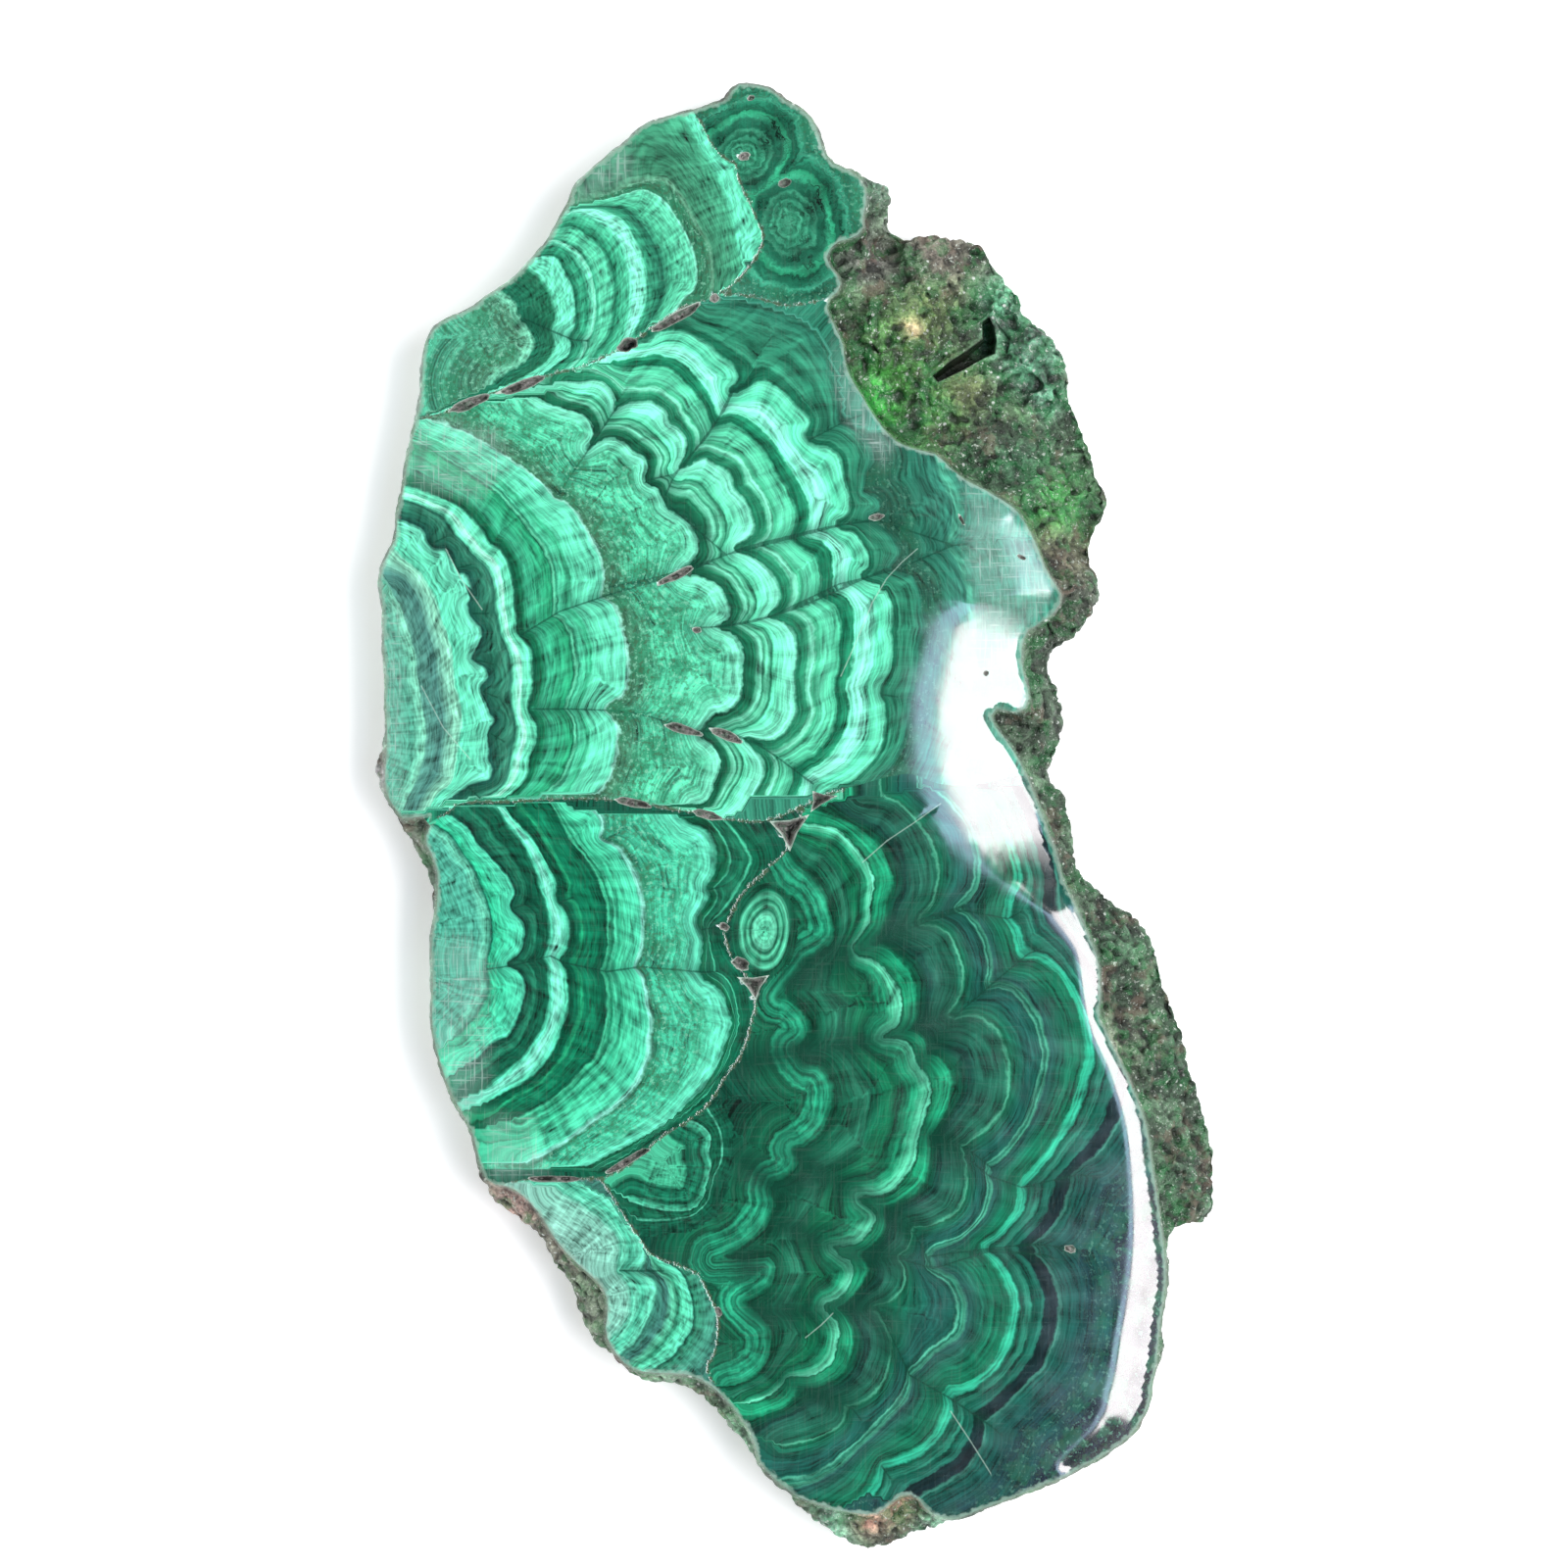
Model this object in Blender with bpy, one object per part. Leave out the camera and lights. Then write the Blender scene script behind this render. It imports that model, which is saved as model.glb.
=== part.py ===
"""A slab of malachite, one stone: sawn flat below, polished above, its natural rind left round the edge.

Metres, +Z up. The sawn back lies on z = 0, and the origin is on it, under the middle of the slab.
Run with blender --background --python part.py, or from Blender's text editor.
"""

import math

import bmesh
import bpy
import numpy as np
from mathutils import Vector, noise
from mathutils.geometry import delaunay_2d_cdt

MM = 0.001

# Driving dimensions
SLAB_LENGTH = 145 * MM
SLAB_THICKNESS = 9 * MM
RIM_DROP = 0.56 * SLAB_THICKNESS
EDGE_ROUNDING = 0.45 * MM
LEDGE_DEPTH = 2.4 * MM
LEDGE_WALL = 1.1 * MM
UNDERCUT = 1.1 * MM

# How rough the natural surfaces are: height of the grain, and its size
GRAIN_HEIGHT = 0.4 * MM
GRAIN_SIZE = 2.6 * MM

# Spacing of the mesh: along the outlines, on the polish, on its shoulder, on the rind, on the back
OUTLINE_STEP = 1.0 * MM
POLISH_STEP = 6.0 * MM
SHOULDER_STEP = 2.2 * MM
RIND_STEP = 0.9 * MM
BACK_STEP = 7.0 * MM
ON_LOOP = 0.01 * MM

# Flat shapes are read from straight above, in pixels of a picture that is a known number of pixels per slab
PICTURE_TOP, PICTURE_BOTTOM = 80, 1592
PICTURE_LEFT, PICTURE_RIGHT = 375, 1249
PIXEL = SLAB_LENGTH / (PICTURE_BOTTOM - PICTURE_TOP)

# The widest outline of the stone, clockwise from the knob at the top
STONE_EDGE = [
    (738, 97), (743, 86), (752, 80), (765, 81), (780, 83), (792, 88), (803, 98), (815, 103), (826, 110),
    (835, 122), (841, 137), (846, 155), (855, 164), (880, 171), (895, 176), (906, 181), (914, 190),
    (915, 201), (911, 213), (910, 224), (916, 232), (928, 233), (941, 229), (956, 228), (972, 230),
    (987, 234), (1001, 240), (1013, 250), (1023, 264), (1031, 278), (1041, 286), (1047, 299), (1049, 313),
    (1058, 320), (1069, 325), (1079, 336), (1089, 350), (1096, 366), (1099, 382), (1098, 401), (1106, 425),
    (1114, 442), (1121, 461), (1126, 479), (1132, 488), (1140, 495), (1136, 510), (1131, 528), (1122, 541),
    (1118, 560), (1121, 571), (1129, 582), (1132, 600), (1128, 615), (1118, 629), (1106, 645), (1093, 657),
    (1081, 667), (1074, 677), (1078, 687), (1086, 699), (1090, 715), (1093, 733), (1092, 750), (1086, 765),
    (1080, 778), (1076, 789), (1082, 799), (1092, 808), (1099, 822), (1101, 838), (1101, 860), (1104, 880),
    (1113, 897), (1126, 906), (1146, 920), (1166, 935), (1181, 955), (1191, 975), (1195, 998), (1201, 1020),
    (1209, 1040), (1216, 1053), (1219, 1070), (1223, 1090), (1230, 1115), (1238, 1140), (1244, 1160),
    (1248, 1181), (1248, 1204), (1249, 1226), (1246, 1245), (1237, 1256), (1217, 1258), (1205, 1261),
    (1198, 1270), (1198, 1282), (1201, 1298), (1198, 1315), (1194, 1332), (1191, 1350), (1194, 1366),
    (1192, 1382), (1187, 1399), (1182, 1416), (1179, 1435), (1174, 1449), (1166, 1463), (1154, 1476),
    (1134, 1491), (1112, 1502), (1094, 1513), (1069, 1521), (1031, 1536), (1005, 1546), (975, 1557),
    (945, 1571), (923, 1581), (900, 1588), (880, 1592), (868, 1589), (861, 1581), (849, 1573), (840, 1565),
    (826, 1559), (813, 1549), (806, 1536), (799, 1526), (786, 1518), (776, 1506), (767, 1494), (757, 1480),
    (744, 1464),
    (730, 1448), (716, 1434), (700, 1423), (681, 1420), (664, 1418), (649, 1410), (634, 1401), (624, 1389),
    (611, 1379), (599, 1370), (592, 1355), (585, 1339), (580, 1319), (573, 1307), (562, 1298), (559, 1285),
    (553, 1272), (540, 1263), (524, 1252), (510, 1239), (499, 1226), (489, 1210), (483, 1190), (479, 1170),
    (475, 1155), (465, 1140), (454, 1120), (446, 1095), (439, 1070), (435, 1040), (436, 1010), (435, 980),
    (435, 955), (437, 930), (434, 905), (427, 885), (418, 867), (408, 853), (400, 842), (396, 828),
    (389, 815), (381, 800), (375, 785), (376, 772), (382, 763), (388, 755), (389, 740), (388, 715),
    (388, 690), (386, 660), (386, 630), (384, 610), (382, 590), (385, 575), (391, 560), (398, 547),
    (399, 530), (402, 514), (406, 495), (410, 470), (415, 445), (420, 425), (424, 405), (425, 385),
    (427, 360), (433, 341), (443, 327), (460, 318), (479, 309), (494, 297), (514, 285), (529, 272),
    (544, 255), (554, 243), (562, 228), (569, 215), (575, 206), (580, 190), (590, 178), (605, 165),
    (620, 153), (635, 142), (645, 130), (660, 121), (680, 115), (700, 110), (720, 103),
]

# Where the polished face ends, clockwise from the same knob
POLISH_EDGE = [
    (742, 102), (748, 91), (756, 86), (768, 87), (780, 89), (790, 94), (800, 103), (812, 109), (822, 116),
    (830, 126), (836, 140), (841, 157), (850, 168), (862, 173), (875, 181), (883, 194), (883, 208),
    (880, 222), (880, 236), (868, 243), (856, 246), (847, 254), (843, 264), (848, 274), (856, 284),
    (857, 295), (849, 302), (843, 309), (846, 322), (853, 336), (860, 352), (862, 370), (868, 386),
    (878, 402), (889, 420), (901, 437), (915, 451), (935, 459), (955, 464), (970, 478), (985, 490),
    (1003, 499), (1020, 509), (1037, 521), (1049, 539), (1057, 555), (1063, 570), (1070, 586), (1079, 600),
    (1083, 611), (1077, 623), (1064, 634), (1050, 642), (1045, 653), (1043, 670), (1046, 690), (1050, 704),
    (1050, 717), (1043, 726), (1030, 725), (1016, 723), (1012, 732), (1018, 743), (1028, 756), (1038, 771),
    (1048, 791), (1056, 811), (1064, 831), (1071, 853), (1079, 874), (1083, 893), (1090, 911), (1100, 930),
    (1110, 954), (1119, 975), (1122, 995), (1123, 1015), (1121, 1036), (1130, 1057), (1142, 1081),
    (1153, 1104), (1161, 1125), (1169, 1148), (1173, 1170), (1176, 1192), (1180, 1215), (1183, 1237),
    (1186, 1260), (1189, 1285), (1190, 1310), (1186, 1340), (1183, 1365), (1181, 1390), (1176, 1412),
    (1173, 1434), (1166, 1449), (1158, 1461), (1146, 1472), (1128, 1485), (1108, 1495), (1090, 1505),
    (1066, 1514), (1042, 1524), (1005, 1538), (976, 1549), (958, 1547), (946, 1540), (938, 1530),
    (926, 1524), (913, 1530), (901, 1540), (888, 1545), (868, 1543), (850, 1539), (832, 1533), (816, 1528),
    (805, 1520), (793, 1511), (783, 1501), (775, 1490), (771, 1474), (764, 1458), (753, 1442), (740, 1427),
    (723, 1412), (704, 1403), (682, 1401), (660, 1400), (643, 1395), (632, 1385), (623, 1372), (618, 1358),
    (620, 1342), (619, 1324), (611, 1309), (598, 1297), (581, 1281), (566, 1263), (553, 1242), (540, 1226),
    (522, 1212), (500, 1206), (491, 1190), (486, 1170), (481, 1152), (472, 1136), (461, 1116), (452, 1093),
    (445, 1068), (441, 1040), (442, 1010), (441, 980), (441, 955), (445, 935), (447, 905), (446, 888),
    (441, 872), (434, 858), (438, 846), (442, 834), (428, 833), (412, 835), (404, 826), (396, 812),
    (393, 795), (394, 778), (395, 760), (395, 740), (394, 715), (394, 690), (392, 660), (392, 630),
    (390, 610), (388, 592), (391, 578), (397, 563), (404, 550), (405, 532), (408, 516), (412, 496),
    (416, 471), (421, 446), (426, 426), (430, 406), (431, 386), (433, 361), (438, 344), (447, 332),
    (463, 323), (483, 314), (498, 302), (518, 290), (533, 276), (548, 259), (559, 247), (568, 231),
    (575, 218), (582, 208), (586, 192), (595, 182), (609, 169), (624, 157), (639, 146), (649, 135),
    (663, 126), (682, 120), (702, 115), (722, 109),
]

# The right-hand stretch of the polish edge over which the face rolls down to a shoulder:
# a point on the edge, then the shoulder's width and its drop, in millimetres
SHOULDER = [
    ((1037, 521), 3.0, 0.20), ((1083, 611), 4.5, 0.35), ((1045, 653), 12.0, 1.7), ((1030, 725), 12.0, 1.9),
    ((1048, 791), 12.0, 2.0), ((1064, 831), 10.0, 1.7), ((1079, 874), 6.0, 1.1), ((1090, 911), 2.4, 0.55),
    ((1122, 995), 1.3, 0.35), ((1142, 1081), 1.3, 0.35), ((1169, 1148), 2.2, 0.5), ((1180, 1215), 3.4, 0.8),
    ((1189, 1285), 5.0, 1.1), ((1183, 1365), 6.0, 1.3), ((1173, 1434), 6.5, 1.4), ((1146, 1472), 4.5, 1.0),
    ((1090, 1505), 1.6, 0.35),
]

# The broken ledge at the upper right, where the stone lies lower than the polish
LEDGE_CENTRE = (985, 400)
LEDGE_HALF_SIZE = (185, 205)

# Knobs and hollows of the rind: centre, radius in pixels, height in millimetres (a hollow is negative)
LUMPS = [
    ((1030, 300), 22, 1.5), ((1056, 352), 34, 1.9), ((1070, 397), 15, 1.0), ((955, 262), 46, 1.5),
    ((906, 246), 14, -2.6), ((870, 268), 20, 0.9), ((925, 330), 55, 0.9), ((1040, 392), 16, -1.3),
    ((1003, 300), 12, -1.0), ((905, 405), 30, -0.7), ((1060, 520), 34, 0.8), ((1010, 440), 40, 0.7),
    ((1108, 600), 22, 1.4), ((1090, 470), 26, -0.6), ((1064, 742), 26, 1.2), ((1066, 650), 20, 0.7),
    ((1150, 968), 34, 1.3), ((1185, 1085), 30, 0.9), ((1215, 1195), 28, 1.1), ((1175, 1150), 14, -0.6),
    ((1226, 1238), 18, 0.9), ((545, 1248), 20, 0.4), ((600, 1330), 18, 0.5), ((900, 1565), 34, 0.9),
    ((868, 1556), 14, -0.6), ((735, 1440), 18, 0.4), ((1160, 1035), 18, -0.5),
]

# Vugs in the polished face: the two ends of the hollow, its width in pixels, its depth in millimetres
VUGS = [
    ((630, 356), (652, 347), 13, 2.4), ((663, 339), (716, 309), 10, 1.0), ((507, 402), (558, 384), 10, 1.0),
    ((459, 420), (498, 404), 12, 1.2), ((672, 596), (709, 578), 9, 0.8), ((678, 738), (716, 750), 10, 0.9),
    ((722, 743), (758, 757), 9, 0.9), ((626, 815), (664, 823), 8, 0.8), ((707, 828), (736, 835), 9, 0.8),
    ((794, 188), (808, 185), 9, 1.2), ((747, 979), (764, 988), 13, 1.6), ((540, 1203), (592, 1203), 7, 0.9),
    ((616, 1199), (664, 1171), 8, 0.9),
]

# Three-cornered vugs, where three growths meet: their corners, and the depth in millimetres
CORNER_VUGS = [
    ([(785, 838), (826, 831), (806, 869)], 2.2),
    ([(829, 807), (855, 812), (827, 829)], 1.6),
    ([(752, 997), (785, 995), (771, 1021)], 1.2),
]

# The crack that opens across the ledge: its outline, the outline of its floor, and its depth
CRACK_EDGE = [
    (952, 380), (958, 387), (985, 374), (1006, 362), (1018, 357), (1020, 343), (1018, 330), (1012, 318),
    (1004, 324), (1005, 341), (990, 353), (972, 365),
]
CRACK_FLOOR = [
    (958, 380), (960, 383), (984, 370), (1005, 358), (1013, 353), (1015, 342), (1013, 331), (1011, 325),
    (1009, 328), (1010, 343), (993, 357), (975, 368),
]
CRACK_DEPTH = 3.4 * MM


def at(pixel):
    """The place in the slab's plane, in metres, of a point of the picture."""
    middle_x = (PICTURE_LEFT + PICTURE_RIGHT) / 2
    middle_y = (PICTURE_TOP + PICTURE_BOTTOM) / 2
    return np.array([(pixel[0] - middle_x) * PIXEL, (middle_y - pixel[1]) * PIXEL])


def smooth_loop(pixels, step):
    """A closed curve through the points (Catmull-Rom), as points about one step apart."""
    knots = np.array([at(p) for p in pixels])
    fine = []
    for before, a, b, after in zip(
        np.roll(knots, 1, 0), knots, np.roll(knots, -1, 0), np.roll(knots, -2, 0)
    ):
        for t in np.linspace(0, 1, 8, endpoint=False):
            fine.append(
                0.5
                * (
                    2 * a
                    + (b - before) * t
                    + (2 * before - 5 * a + 4 * b - after) * t**2
                    + (3 * a - before - 3 * b + after) * t**3
                )
            )
    fine = np.array(fine)
    lengths = np.linalg.norm(np.roll(fine, -1, 0) - fine, axis=1)
    travelled = np.concatenate([[0], np.cumsum(lengths)])
    count = round(travelled[-1] / step)
    wanted = np.linspace(0, travelled[-1], count, endpoint=False)
    closed = np.vstack([fine, fine[:1]])
    return np.column_stack([np.interp(wanted, travelled, closed[:, k]) for k in (0, 1)])


def outward(loop):
    """Unit vectors that point out of a clockwise loop, one for each of its points."""
    along = np.roll(loop, -1, 0) - np.roll(loop, 1, 0)
    along /= np.linalg.norm(along, axis=1)[:, None]
    return np.column_stack([-along[:, 1], along[:, 0]])


def relaxed(loop, turns):
    """The loop with its small corners worn away."""
    for _ in range(turns):
        loop = (np.roll(loop, 1, 0) + 2 * loop + np.roll(loop, -1, 0)) / 4
    return loop


def roughened(loop, height, size, seed):
    """The loop moved in and out by noise, as a broken edge is."""
    push = [
        height * noise.fractal(Vector((x / size, y / size, seed)), 0.7, 2.1, 4)
        for x, y in loop
    ]
    return loop + outward(loop) * np.array(push)[:, None]


def distance(points, loop):
    """How far each point is from the closed loop, and which of its segments is nearest."""
    start, run = loop, np.roll(loop, -1, 0) - loop
    best = np.full(len(points), np.inf)
    nearest = np.zeros(len(points), int)
    for index, (a, ab) in enumerate(zip(start, run)):
        t = np.clip(((points - a) @ ab) / (ab @ ab), 0, 1)
        apart = np.linalg.norm(points - (a + t[:, None] * ab), axis=1)
        nearest = np.where(apart < best, index, nearest)
        best = np.minimum(best, apart)
    return best, nearest


def inside(points, loop):
    """True for each point that lies inside the closed loop."""
    found = np.zeros(len(points), bool)
    for a, b in zip(loop, np.roll(loop, -1, 0)):
        if a[1] == b[1]:
            continue
        crosses = (a[1] > points[:, 1]) != (b[1] > points[:, 1])
        where = a[0] + (points[:, 1] - a[1]) / (b[1] - a[1]) * (b[0] - a[0])
        found ^= crosses & (points[:, 0] < where)
    return found


def scattered(loop, step):
    """Points inside the loop on a triangular grid."""
    low, high = loop.min(0), loop.max(0)
    rows = np.arange(low[1], high[1], step * math.sqrt(0.75))
    points = [
        (x + (row % 2) * step / 2, y)
        for row, y in enumerate(rows)
        for x in np.arange(low[0], high[0], step)
    ]
    points = np.array(points)
    return points[inside(points, loop)]


def smoothstep(value):
    """0 up to 0, 1 from 1 on, and an even curve between them."""
    value = np.clip(value, 0, 1)
    return value * value * (3 - 2 * value)


def polish_height(points, edge):
    """Height of the polished face: flat, and rolled down towards the right-hand edge."""
    gaps, nearest = distance(points, edge)
    stations = []
    for pixel, width, drop in SHOULDER:
        index = int(np.argmin(np.linalg.norm(edge - at(pixel), axis=1)))
        stations.append((index, width * MM, drop * MM))
    places = np.array([s[0] for s in stations])
    width = np.interp(nearest, places, [s[1] for s in stations])
    drop = np.interp(nearest, places, [s[2] for s in stations])
    on_shoulder = (nearest > places[0]) & (nearest < places[-1])
    roll = np.where(on_shoulder, drop * np.clip(1 - gaps / width, 0, 1) ** 2, 0)
    return SLAB_THICKNESS - roll


def lumpiness(points):
    """What the knobs and hollows of the rind add to its height."""
    total = np.zeros(len(points))
    for pixel, radius, height in LUMPS:
        share = np.linalg.norm(points - at(pixel), axis=1) / (radius * PIXEL)
        total += height * MM * np.sqrt(np.clip(1 - share**2, 0, 1)) * smoothstep((1 - share) * 4)
    return total


def grain(points):
    """What the natural roughness adds to the height of the rind."""
    places = [Vector((x, y, 0)) / GRAIN_SIZE for x, y in points]
    return GRAIN_HEIGHT * np.array([noise.fractal(place, 0.8, 2.0, 3) for place in places])


def on_ledge(points):
    """1 on the broken ledge and 0 away from it, with a soft border."""
    away = np.abs(points - at(LEDGE_CENTRE)) / (np.array(LEDGE_HALF_SIZE) * PIXEL)
    return smoothstep((1 - away.max(axis=1)) * 6)


def rind_height(points, polish_edge, stone_edge):
    """Height of the natural rind, between the polished face and the stone's widest outline."""
    from_polish, nearest = distance(points, polish_edge)
    from_rim, _ = distance(points, stone_edge)
    width = from_polish + from_rim
    share = from_polish / np.maximum(width, ON_LOOP)
    top = polish_height(polish_edge, polish_edge)[nearest]
    ledge = on_ledge(points)
    rim_drop = np.minimum(EDGE_ROUNDING + 0.9 * np.maximum(width - EDGE_ROUNDING, 0), RIM_DROP)
    wall = LEDGE_DEPTH * smoothstep(from_polish / LEDGE_WALL) * ledge
    slope = rim_drop * share ** (0.8 + 2.0 * ledge)
    fall = np.minimum(wall + slope, RIM_DROP)
    free = smoothstep(from_polish / LEDGE_WALL)
    return top - fall + free * (lumpiness(points) + grain(points))


def lens(start, end, width, shrink):
    """The outline of a long vug between two ends, narrowed to a share of its size."""
    middle, half = (at(start) + at(end)) / 2, (at(end) - at(start)) / 2 * shrink
    side = np.array([-half[1], half[0]]) / np.linalg.norm(half)
    turns = np.linspace(0, 2 * math.pi, 8, endpoint=False)
    reach = width * PIXEL / 2 * shrink
    return np.array([middle + half * math.cos(t) + side * reach * math.sin(t) for t in turns])


def star(pixels, shrink):
    """The outline of a three-cornered vug with hollow sides, narrowed to a share of its size."""
    corners = np.array([at(p) for p in pixels])
    middle = corners.mean(0)
    waists = (corners + np.roll(corners, -1, 0)) * 0.4 + middle * 0.2
    outline = np.stack([corners, waists], axis=1).reshape(-1, 2)
    return middle + (outline - middle) * shrink


def vugs():
    """Every vug of the polished face, as its outline there, its outline at the floor, and its depth."""
    found = [
        (lens(a, b, width, 1), lens(a, b, width, 0.55), depth * MM) for a, b, width, depth in VUGS
    ]
    found += [(star(c, 1), star(c, 0.5), depth * MM) for c, depth in CORNER_VUGS]
    return found


def sheet(loops, spots):
    """Triangles that fill the first loop and keep every loop's edges: (points, faces)."""
    points, edges = [], []
    for loop in loops:
        first = len(points)
        points.extend(Vector(p) for p in loop)
        edges.extend((first + i, first + (i + 1) % len(loop)) for i in range(len(loop)))
    points.extend(Vector(p) for p in spots)
    made, _, faces, *_ = delaunay_2d_cdt(points, edges, [], 1, 1e-7)
    return np.array([tuple(p) for p in made]), faces


def clear_of(spots, loops, gap):
    """The spots that are at least a gap away from every loop."""
    for loop in loops:
        spots = spots[distance(spots, loop)[0] > gap]
    return spots


def within(points, loop):
    """True for each point that is inside the loop or on it."""
    return inside(points, loop) | (distance(points, loop)[0] < ON_LOOP)


def top_spots(stone_edge, polish_edge, holes, crack):
    """Where the top gets points of its own: few on the flat polish, many on its shoulder and the rind."""
    flat = clear_of(scattered(polish_edge, POLISH_STEP), [polish_edge] + holes, 1.6 * MM)
    flat = flat[polish_height(flat, polish_edge) > SLAB_THICKNESS - ON_LOOP]
    rolled = clear_of(scattered(polish_edge, SHOULDER_STEP), [polish_edge] + holes, 1.0 * MM)
    rolled = rolled[polish_height(rolled, polish_edge) < SLAB_THICKNESS - ON_LOOP]
    rind = scattered(stone_edge, RIND_STEP)
    rind = rind[~inside(rind, polish_edge)]
    rind = clear_of(rind, [stone_edge, polish_edge, crack], 0.55 * RIND_STEP)
    return np.vstack([flat, rolled, rind])


def top_sheet(stone_edge, polish_edge):
    """The stone seen from above: (points with their heights, faces)."""
    crack = np.array([at(p) for p in CRACK_EDGE])
    crack_floor = np.array([at(p) for p in CRACK_FLOOR])
    pits = vugs() + [(crack, crack_floor, CRACK_DEPTH)]
    spots = top_spots(stone_edge, polish_edge, [rim for rim, _, _ in pits[:-1]], crack)
    loops = [stone_edge, polish_edge]
    loops += [loop for rim, floor, _ in pits for loop in (rim, floor)]
    points, faces = sheet(loops, spots)

    heights = np.where(
        within(points, polish_edge),
        polish_height(points, polish_edge),
        rind_height(points, polish_edge, stone_edge),
    )
    for _, floor, depth in pits:
        heights[within(points, floor)] -= depth
    return np.column_stack([points, heights]), faces


def side_rings(stone_edge, rim_heights):
    """The stone's side below its widest outline: two rings of its worn belly, then the sawn back's edge."""
    rings = []
    for turns, share_in, share_up, seed in ((2, 0.2, 0.7, 5.0), (4, 0.45, 0.35, 7.0), (10, 1.0, 0, 9.0)):
        ring = relaxed(stone_edge, turns)
        ring = ring - outward(ring) * share_in * UNDERCUT
        ring = roughened(ring, 0.3 * MM, 3.5 * MM, seed)
        rings.append(np.column_stack([ring, share_up * rim_heights]))
    return rings


def closest(points, place):
    """The number of the point nearest to a place."""
    return int(np.argmin(np.linalg.norm(points - place, axis=1)))


def slab_mesh():
    """The closed mesh of the whole slab: its top, then its side drawn down ring by ring, then its back."""
    stone_edge = roughened(smooth_loop(STONE_EDGE, OUTLINE_STEP), 0.16 * MM, 3 * MM, 1.0)
    polish_edge = smooth_loop(POLISH_EDGE, OUTLINE_STEP)
    points, faces = top_sheet(stone_edge, polish_edge)

    shape = bmesh.new()
    top = [shape.verts.new(p) for p in points]
    for face in faces:
        shape.faces.new([top[i] for i in face])

    ring = stone_edge
    rim_heights = np.array([points[closest(points[:, :2], p), 2] for p in ring])
    for lower in side_rings(stone_edge, rim_heights):
        border = [edge for edge in shape.edges if edge.is_boundary]
        drawn = bmesh.ops.extrude_edge_only(shape, edges=border)["geom"]
        for vert in drawn:
            if isinstance(vert, bmesh.types.BMVert):
                vert.co = lower[closest(ring, vert.co[:2])]
        ring = lower[:, :2]

    foot = [vert for vert in shape.verts if vert.is_boundary]
    back_points, back_faces = sheet([ring], clear_of(scattered(ring, BACK_STEP), [ring], 2.5 * MM))
    foot_places = np.array([vert.co[:2] for vert in foot])
    back = []
    for place in back_points:
        nearest = closest(foot_places, place)
        on_foot = np.linalg.norm(foot_places[nearest] - place) < ON_LOOP
        back.append(foot[nearest] if on_foot else shape.verts.new((*place, 0)))
    for face in back_faces:
        shape.faces.new([back[i] for i in face])

    bmesh.ops.recalc_face_normals(shape, faces=shape.faces)
    bmesh.ops.triangulate(shape, faces=shape.faces)
    mesh = bpy.data.meshes.new("malachite_slab")
    shape.to_mesh(mesh)
    shape.free()
    return mesh


def malachite():
    """Polished malachite: a deep bluish green, glossy, not metallic."""
    material = bpy.data.materials.new("malachite")
    material.use_nodes = True
    shader = material.node_tree.nodes["Principled BSDF"]
    shader.inputs["Base Color"].default_value = (0.05, 0.42, 0.23, 1)
    shader.inputs["Roughness"].default_value = 0.15
    shader.inputs["Metallic"].default_value = 0
    return material


def main():
    for thing in list(bpy.data.objects):
        bpy.data.objects.remove(thing)
    collection = bpy.data.collections.new("malachite_slab")
    bpy.context.scene.collection.children.link(collection)
    slab = bpy.data.objects.new("malachite_slab", slab_mesh())
    slab.data.materials.append(malachite())
    slab.data.shade_smooth()
    slab.data.set_sharp_from_angle(angle=math.radians(35))
    collection.objects.link(slab)


main()
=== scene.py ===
"""The looks of the malachite slab: its banded polish, its vugs, its natural rind and its sawn back."""

import logging
import math
from dataclasses import dataclass
from enum import Enum, IntEnum

import bmesh
import bpy
import numpy as np
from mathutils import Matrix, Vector, kdtree, noise
from mathutils.geometry import delaunay_2d_cdt

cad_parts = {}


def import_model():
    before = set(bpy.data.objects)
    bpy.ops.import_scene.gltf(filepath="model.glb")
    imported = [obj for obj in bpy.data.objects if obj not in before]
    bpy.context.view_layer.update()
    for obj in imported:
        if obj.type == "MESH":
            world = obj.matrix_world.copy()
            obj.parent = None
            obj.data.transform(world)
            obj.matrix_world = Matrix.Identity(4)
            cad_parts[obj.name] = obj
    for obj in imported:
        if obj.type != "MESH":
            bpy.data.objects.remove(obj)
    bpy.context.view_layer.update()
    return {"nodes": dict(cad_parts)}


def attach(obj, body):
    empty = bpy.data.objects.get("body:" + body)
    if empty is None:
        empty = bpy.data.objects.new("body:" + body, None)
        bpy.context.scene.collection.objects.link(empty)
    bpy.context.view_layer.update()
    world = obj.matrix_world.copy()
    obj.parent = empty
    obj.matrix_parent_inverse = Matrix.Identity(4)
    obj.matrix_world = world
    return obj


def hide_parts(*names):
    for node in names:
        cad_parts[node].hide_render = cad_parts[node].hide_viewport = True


LOG = logging.getLogger("malachite")
Socket = bpy.types.NodeSocket
Number = float | Socket
MM = 0.001
PIXEL = 145 * MM / 1512
MIDDLE = np.array([812.0, 836.0])
TOP = 9 * MM

# What separates the growths where they are numbered one after another, and the most tones that one ramp holds
RIGHT_START, KNOB_START, OVAL_START = 60, 90, 102
RAMP_STOPS = 30
# The blue that the picture's light adds to every tone
BLUE_GAIN = 1.08
# Written where a line, a seam or a rib is too far off to show
FAR_OFF = 99.0
UNSEEN = 9.0
# Written where there is no growth, and what keeps the growths' own thicknesses apart
NO_GROWTH = -5.0
THICK_STEP = 900

# Places on the polish are written as x and y in pixels of a picture seen from straight above, and a bar
# stands where a growth line turns back sharply, between two lobes.

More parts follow.
